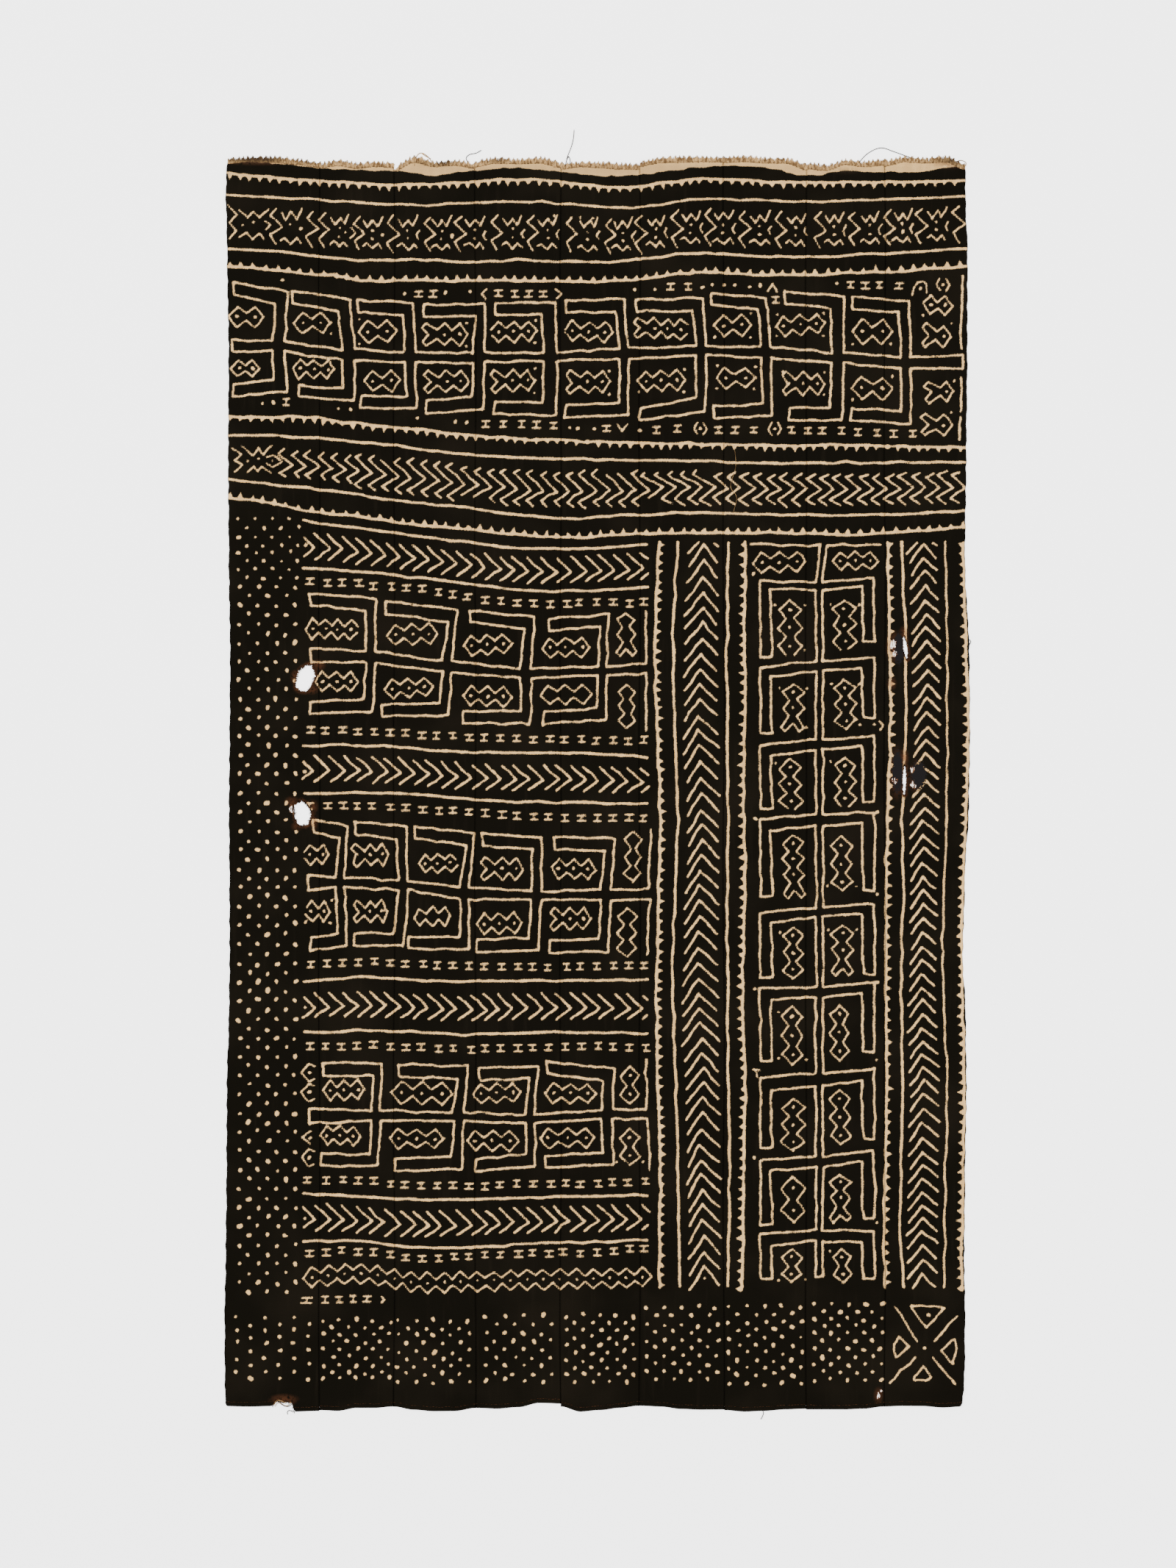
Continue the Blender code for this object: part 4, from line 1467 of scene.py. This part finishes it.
def stained(nodes, kind, share, gaps=0.30):
    """A stain's broken-up strength. More gaps leave more of the cloth clean."""
    broken = nodes.ramp(nodes.noise(330.0, detail=4.0), gaps, gaps + 0.22)
    return nodes.math("MULTIPLY", nodes.math("MULTIPLY", nodes.value(kind), broken), share)


def worn(nodes, kind, uneven):
    """A worn patch's strength, made uneven only where there is one."""
    strength = nodes.value(kind)
    near = nodes.ramp(strength, 0.0, 0.3)
    return nodes.math("ADD", strength, nodes.math("MULTIPLY", near, uneven))


def cotton_colour(nodes, streaks):
    """Undyed cotton, uneven from yarn to yarn, tanned and rusty in places."""
    yarns = nodes.ramp(nodes.noise(460.0, (1.9, 0.5, 1.0), detail=3.0), 0.36, 0.64)
    slubs = nodes.ramp(nodes.noise(240.0, (0.4, 2.2, 1.0), detail=3.0), 0.54, 0.78)
    cotton = nodes.mix(nodes.ramp(streaks, 0.30, 0.72), COTTON_SHADE, COTTON)
    cotton = nodes.mix(nodes.math("MULTIPLY", yarns, 0.45), cotton, COTTON_SHADE)
    cotton = nodes.mix(nodes.math("MULTIPLY", slubs, 0.40), cotton, COTTON_SLUB)
    cotton = nodes.mix(nodes.math("MULTIPLY", nodes.value("tanned"), 0.8), cotton, TANNED)
    return nodes.mix(stained(nodes, "rusty", 0.9), cotton, RUST)


def mud_colour(nodes, streaks, halo):
    """Mud-dyed cotton, worn in patches and streaks, with a lighter rim beside the pale strokes."""
    patches = nodes.ramp(nodes.noise(9.0, detail=3.0), 0.42, 0.75)
    mud = nodes.mix(nodes.math("MULTIPLY", patches, 0.65), MUD, MUD_WORN)
    mud = nodes.mix(nodes.math("MULTIPLY", nodes.ramp(streaks, 0.55, 0.80), 0.5), mud, MUD_WORN)
    mud = nodes.mix(stained(nodes, "rusty", 0.6), mud, RUST_ON_MUD)
    return nodes.mix(nodes.math("MULTIPLY", halo, 0.5), mud, HALO)


def darned_and_torn(nodes, colour):
    """Dark darns, and pale torn places with rusty rims."""
    rough = nodes.math("SUBTRACT", nodes.noise(620.0, detail=3.0), 0.5)
    rough = nodes.math("MULTIPLY", rough, 1.3)
    lumps = nodes.math("SUBTRACT", nodes.noise(360.0, (1.5, 0.7, 1.0)), 0.5)
    lumps = nodes.math("MULTIPLY", lumps, 3.2)
    torn = worn(nodes, "torn", nodes.math("ADD", rough, lumps))
    colour = nodes.mix(nodes.ramp(worn(nodes, "darned", rough), 0.42, 0.50), colour, DARNED)
    colour = nodes.mix(nodes.math("MULTIPLY", nodes.ramp(torn, 0.36, 0.50), 0.8), colour, RUST)
    return nodes.mix(nodes.ramp(torn, 0.60, 0.70), colour, TORN_PALE)


def cloth_material():
    """Handwoven cotton with the pattern left pale in river mud."""
    nodes = Nodes("mud_dyed_cotton")
    dyed, halo = dyed_share(nodes)
    streaks = nodes.noise(42.0, (2.6, 0.22, 1.0), detail=4.0)
    colour = nodes.mix(dyed, cotton_colour(nodes, streaks), mud_colour(nodes, streaks, halo))
    colour = nodes.mix(stained(nodes, "sooty", 0.85), colour, SOOT)
    colour = darned_and_torn(nodes, colour)
    colour = nodes.mix(nodes.math("MULTIPLY", nodes.value("under"), 0.6), colour, REVERSE)
    weave = weave_height(nodes)
    # Painted shade: the base colour is made darker where the weave is low, in the hollows between the
    # yarns.
    shade = nodes.math("ADD", 0.93, nodes.math("MULTIPLY", weave, 0.10))
    colour_with_painted_shade = nodes.add("ShaderNodeVectorMath", {"operation": "SCALE"}, i0=colour, Scale=shade)
    height = nodes.math("ADD", weave, nodes.math("MULTIPLY", nodes.noise(1500.0), 0.5))
    bump = nodes.add("ShaderNodeBump", Height=height, Strength=0.55, Distance=0.00035)
    nodes.set(Base_Color=colour_with_painted_shade.outputs[0], Normal=bump.outputs[0], Roughness=0.96,
              Specular_IOR_Level=0.02)
    return nodes.material


def yarn(points, radius):
    """Vertices and faces of one thin yarn along a few points, tapering at its end."""
    points = np.asarray(points, float)
    ahead = np.gradient(points, axis=0)
    ahead /= np.linalg.norm(ahead, axis=1)[:, None] + 1e-12
    up = np.array((0.0, 0.0, 1.0)) if abs(ahead[0, 2]) < 0.9 else np.array((1.0, 0.0, 0.0))
    side = np.cross(ahead, up)
    side /= np.linalg.norm(side, axis=1)[:, None] + 1e-12
    lift = np.cross(side, ahead)
    verts, faces = [], []
    for k, point in enumerate(points):
        r = radius * (1.0 if k < len(points) - 1 else 0.45)
        for s in range(YARN_SIDES):
            turn = 2 * math.pi * s / YARN_SIDES
            verts.append(point + r * (math.cos(turn) * side[k] + math.sin(turn) * lift[k]))
    for k in range(len(points) - 1):
        for s in range(YARN_SIDES):
            a, b = k * YARN_SIDES + s, k * YARN_SIDES + (s + 1) % YARN_SIDES
            faces.append((a, b, b + YARN_SIDES, a + YARN_SIDES))
    faces.append(tuple(range(YARN_SIDES))[::-1])
    faces.append(tuple(range(len(verts) - YARN_SIDES, len(verts))))
    return verts, faces


class Bundle:
    """Many yarns joined into one mesh."""

    def __init__(self):
        self.verts, self.faces = [], []

    def add(self, points, radius):
        """Adds one yarn."""
        verts, faces = yarn(points, radius)
        start = len(self.verts)
        self.verts += verts
        self.faces += [tuple(start + i for i in face) for face in faces]

    def object(self, name, material, painter):
        """The yarns as one object that rides on the cloth."""
        points = np.array(self.verts)
        mesh = bpy.data.meshes.new(name)
        mesh.from_pydata((points * MM).tolist(), [], self.faces)
        mesh.polygons.foreach_set("use_smooth", np.ones(len(mesh.polygons), bool))
        add_values(mesh, points, np.zeros(len(points)), painter)
        mesh.materials.append(material)
        made = bpy.data.objects.new(name, mesh)
        bpy.context.scene.collection.objects.link(made)
        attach(made, "root")
        return made


def top_of(x, y):
    """Height of the cloth's face, without its fine slubs."""
    return relief(x, y) + thickness(y)


def end_y(x, raw):
    """y of the raw edge, or of the hem, at x."""
    level = END_LEVEL if raw else -END_LEVEL
    number = 1
    while number < len(STRIP_WIDE) and x > float(seam_line(number, level)):
        number += 1
    left, right = float(seam_line(number - 1, level)), float(seam_line(number, level))
    share = min(max((x - left) / (right - left), 0.0), 1.0)
    if raw:
        return LENGTH / 2 - float(end_inset(RAW_EDGE_INSET, number, share))
    inset = float(end_inset(HEM_INSET, number, share))
    if number == 1:
        inset = max(inset, float(bitten(share * STRIP_WIDE[0])))
    return inset - LENGTH / 2


def frayed_ends(hand):
    """Warp ends beyond the raw edge's stitches, in small tufts that lean to the right."""
    bundle = Bundle()
    x = float(seam_line(0, END_LEVEL)) + 0.6
    end = float(seam_line(len(STRIP_WIDE), END_LEVEL)) - 0.6
    while x < end:
        turn = x / 1.05 + 1.6 * math.sin(x / 5.3)
        long = FRAY_DEEP + FRAY_MORE + TUFT_RISE * math.sin(turn) + 0.7 * math.sin(x / 13.0)
        long += hand.normal(0, 0.3)
        for middle, half_wide, deep in FRAY_GAPS:
            long -= deep * max(0.0, 1 - abs(x - middle) / half_wide)
        lean = 0.7 + 0.9 * math.cos(turn) + hand.normal(0, 0.5)
        hump = hand.uniform(0.1, 1.0)
        root_y = end_y(x, True) - FRAY_DEEP - ROOT_LAP
        root_z = float(top_of(x, root_y)) * 0.95
        points = []
        for t in (0.0, 0.35, 0.7, 1.0):
            z = root_z + 4 * hump * t * (1 - t) - 0.5 * t
            points.append((x + lean * t * t, root_y + (long + ROOT_LAP) * t, z))
        bundle.add(points, hand.uniform(0.40, 0.62))
        x += hand.uniform(0.22, 0.42)
    return bundle


def loose_threads():
    """Threads that have come away: along the raw edge, at the holes and at the hem."""
    grey, pale = Bundle(), Bundle()

    def laid(points):
        out = []
        for px, py in points:
            x, y = (px - CLOTH_MIDDLE_X) * PX, (CLOTH_MIDDLE_Y - py) * PX
            on_cloth = abs(y) < LENGTH / 2 - 6
            out.append((x, y, float(top_of(x, y)) + 0.2 if on_cloth else LOOSE_LIFT))
        return rounded(np.array(out))

    for bundle, threads, radius in (
        (grey, LOOSE_GREY, LOOSE_RADIUS),
        (pale, LOOSE_PALE, LOOSE_RADIUS),
        (pale, LOOSE_FINE, LOOSE_FINE_RADIUS),
    ):
        for points in threads:
            bundle.add(laid(points), radius)
    return grey, pale


def rounded(points):
    """A smooth curve through a few points."""
    place = np.arange(len(points), dtype=float)
    at = np.linspace(0, len(points) - 1, (len(points) - 1) * CURVE_STEPS + 1)
    return np.column_stack([curve_through(place, points[:, k], at) for k in range(3)])


def seam_stitches(hand):
    """Short slanting stitches that hold each pair of strips edge to edge."""
    bundle = Bundle()
    for number in range(1, len(STRIP_WIDE)):
        y = -LENGTH / 2 + 12.0
        while y < LENGTH / 2 - 16.0:
            x = float(seam_line(number, y))
            reach, slant = hand.uniform(0.9, 1.4), hand.uniform(1.0, 2.0)
            points = []
            for t in (-1.0, -0.5, 0.5, 1.0):
                px, py = x + reach * t, y + slant * t
                lift = float(top_of(px, py)) - (0.35 if abs(t) == 1.0 else -0.02)
                points.append((px, py, lift))
            bundle.add(points, SEAM_STITCH_RADIUS)
            y += hand.uniform(4.2, 6.4)
    return bundle


def run_stitches(hand, raw, deep, radius):
    """A row of running stitches along the raw edge or the hem."""
    bundle = Bundle()
    level = END_LEVEL if raw else -END_LEVEL
    x = float(seam_line(0, level)) + 3.0
    end = float(seam_line(len(STRIP_WIDE), level)) - 3.0
    while x < end:
        long = hand.uniform(2.4, 3.6)
        y = end_y(x + long / 2, raw) + (-deep if raw else deep) + hand.normal(0, 0.25)
        points = []
        for t, lift in ((0.0, 0.0), (0.25, 0.5), (0.75, 0.5), (1.0, 0.0)):
            px = x + long * t
            points.append((px, y, float(top_of(px, y)) + lift))
        if raw or bitten(x + WIDTH / 2) == 0:
            bundle.add(points, radius)
        x += long + hand.uniform(0.3, 1.1)
    return bundle


def broken_yarn(bundle, hand, rim, way, long):
    """One broken yarn end that starts on the cloth and reaches over an edge."""
    points = []
    for t in (0.0, 0.4, 0.75, 1.0):
        x, y = np.array(rim) + np.array(way) * ((YARN_LAP + long) * t - YARN_LAP)
        x, y = x + hand.normal(0, 0.3) * t, y + hand.normal(0, 0.3) * t
        points.append((x, y, float(top_of(x, y)) * (1.0 - 0.35 * t)))
    bundle.add(points, hand.uniform(0.38, 0.62))


def hole_fray(hand):
    """Broken yarn ends round the worn holes and along the bite in the hem."""
    bundle = Bundle()
    for hole in HOLES:
        slit = hole[3] < 5
        rim = rim_points(hole)
        reach = np.repeat(hand.choice(FRAY_REACH, len(rim) // 3 + 1), 3)
        for (x, y), far in zip(rim, reach):
            inward = hole[1] - x, hole[2] - y
            upright = abs(inward[1]) > abs(inward[0])
            way = (0.0, np.sign(inward[1])) if upright else (np.sign(inward[0]), 0.0)
            for _ in range(1 if slit else 2):
                long = far * hand.uniform(0.6, 1.2) * (0.3 if slit else 1.0)
                broken_yarn(bundle, hand, (x, y) + hand.normal(0, 0.4, 2), way, long)
    for x in np.arange(HEM_BITE[0][0], HEM_BITE[-1][0], 0.55) - WIDTH / 2 + SELVEDGE_INSET[0][1]:
        long = hand.choice(FRAY_REACH) * hand.uniform(0.6, 1.2)
        broken_yarn(bundle, hand, (x, end_y(x, False)), (hand.normal(0, 0.3), -1.0), long)
    return bundle


def thread_material(name, low, high, painted=False):
    """Matte spun yarn whose colour varies along it, dyed with the cloth where it is painted."""
    nodes = Nodes(name)
    varied = nodes.ramp(nodes.noise(400.0, (1.0, 0.4, 1.0), 4.0), 0.36, 0.62)
    dusty = nodes.ramp(nodes.noise(75.0, detail=3.0), 0.46, 0.66)
    colour = nodes.mix(nodes.math("MULTIPLY", dusty, 0.40), nodes.mix(varied, low, high), low)
    if painted:
        colour = nodes.mix(dyed_share(nodes)[0], colour, MUD)
    colour = nodes.mix(stained(nodes, "sooty", 0.9, 0.20), colour, SOOT)
    bump = nodes.add("ShaderNodeBump", Height=nodes.noise(2600.0), Strength=0.5, Distance=0.0002)
    nodes.set(Base_Color=colour, Normal=bump.outputs[0], Roughness=0.95, Specular_IOR_Level=0.03)
    return nodes.material


def add_strips(painter):
    """Each strip's fine sheet in place of its plain solid."""
    material = cloth_material()
    for number, wide in enumerate(STRIP_WIDE, 1):
        mesh = strip_mesh(number, painter)
        mesh.materials.append(material)
        strip = bpy.data.objects.new(mesh.name, mesh)
        bpy.context.scene.collection.objects.link(strip)
        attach(strip, "root")
        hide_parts(f"strip_{number}")


def add_threads(painter):
    """Everything made of single yarns."""
    hand = np.random.default_rng(7)
    # The frayed ends' darker colours are partly soiling and partly painted shade among the tufts.
    frayed = thread_material("undyed_yarn_soiled_and_shaded", *UNDYED_YARN_SOILED_AND_SHADED)
    rusty = thread_material("rusty_yarn", *RUSTY_YARN)
    brown = thread_material("brown_yarn", *BROWN_YARN)
    sewn = thread_material("sewing_yarn", COTTON_SLUB, COTTON_SHADE, painted=True)
    grey = thread_material("grey_yarn", *GREY_YARN)
    frayed_ends(hand).object("frayed_warp_ends", frayed, painter)
    raw_row = run_stitches(hand, True, RAW_STITCH_DEEP, RAW_STITCH_RADIUS)
    raw_row.object("raw_edge_stitches", brown, painter)
    hem_row = run_stitches(hand, False, HEM_STITCH_DEEP, HEM_STITCH_RADIUS)
    hem_row.object("hem_stitches", rusty, painter)
    seam_stitches(hand).object("seam_stitches", sewn, painter)
    hole_fray(hand).object("hole_fray", rusty, painter)
    loose_grey, loose_pale = loose_threads()
    loose_grey.object("loose_threads", grey, painter)
    loose_pale.object("loose_curl", frayed, painter)


def add_floor():
    """A plain pale floor just under the cloth."""
    mesh = bpy.data.meshes.new("floor")
    corners = [(x * FLOOR_HALF, y * FLOOR_HALF, 0) for x, y in ((-1, -1), (1, -1), (1, 1), (-1, 1))]
    mesh.from_pydata(corners, [], [(0, 1, 2, 3)])
    floor = bpy.data.objects.new("floor", mesh)
    floor.location.z = -FLOOR_DROP
    bpy.context.scene.collection.objects.link(floor)
    nodes = Nodes("pale_floor")
    nodes.set(Base_Color=FLOOR_COLOUR, Roughness=0.9, Specular_IOR_Level=0.0,
              Emission_Color=FLOOR_COLOUR, Emission_Strength=FLOOR_GLOW)
    mesh.materials.append(nodes.material)


def add_camera():
    """Straight above the cloth, framed as in the photograph."""
    camera = bpy.data.objects.new("camera", bpy.data.cameras.new("camera"))
    bpy.context.scene.collection.objects.link(camera)
    camera.data.lens = LENS
    camera.data.sensor_width = SENSOR
    camera.data.sensor_fit = "AUTO"
    away = PHOTO_HIGH * PX * MM * LENS / SENSOR
    x = (PHOTO_WIDE / 2 - CLOTH_MIDDLE_X) * PX * MM
    y = (CLOTH_MIDDLE_Y - PHOTO_HIGH / 2) * PX * MM
    camera.location = (x, y, away + CLOTH_THICK * MM)
    camera.data.clip_end = 100.0
    bpy.context.scene.camera = camera


def add_lights():
    """Soft lamps over the cloth and an even pale sky."""
    for name, x, y, size, watts in LIGHTS:
        lamp = bpy.data.lights.new(name, "AREA")
        lamp.shape = "SQUARE"
        lamp.size = size
        lamp.energy = watts
        holder = bpy.data.objects.new(name, lamp)
        holder.location = (x, y, LIGHT_HIGH)
        holder.rotation_euler = Vector((x, y, LIGHT_HIGH)).to_track_quat("Z", "Y").to_euler()
        bpy.context.scene.collection.objects.link(holder)
    world = bpy.data.worlds.new("sky")
    world.use_nodes = True
    sky = world.node_tree.nodes["Background"]
    sky.inputs["Color"].default_value = (1.0, 1.0, 1.0, 1.0)
    sky.inputs["Strength"].default_value = SKY_STRENGTH
    bpy.context.scene.world = world


def main():
    add_camera()
    add_lights()
    add_floor()
    painter = painted_cloth()
    add_strips(painter)
    add_threads(painter)


main()
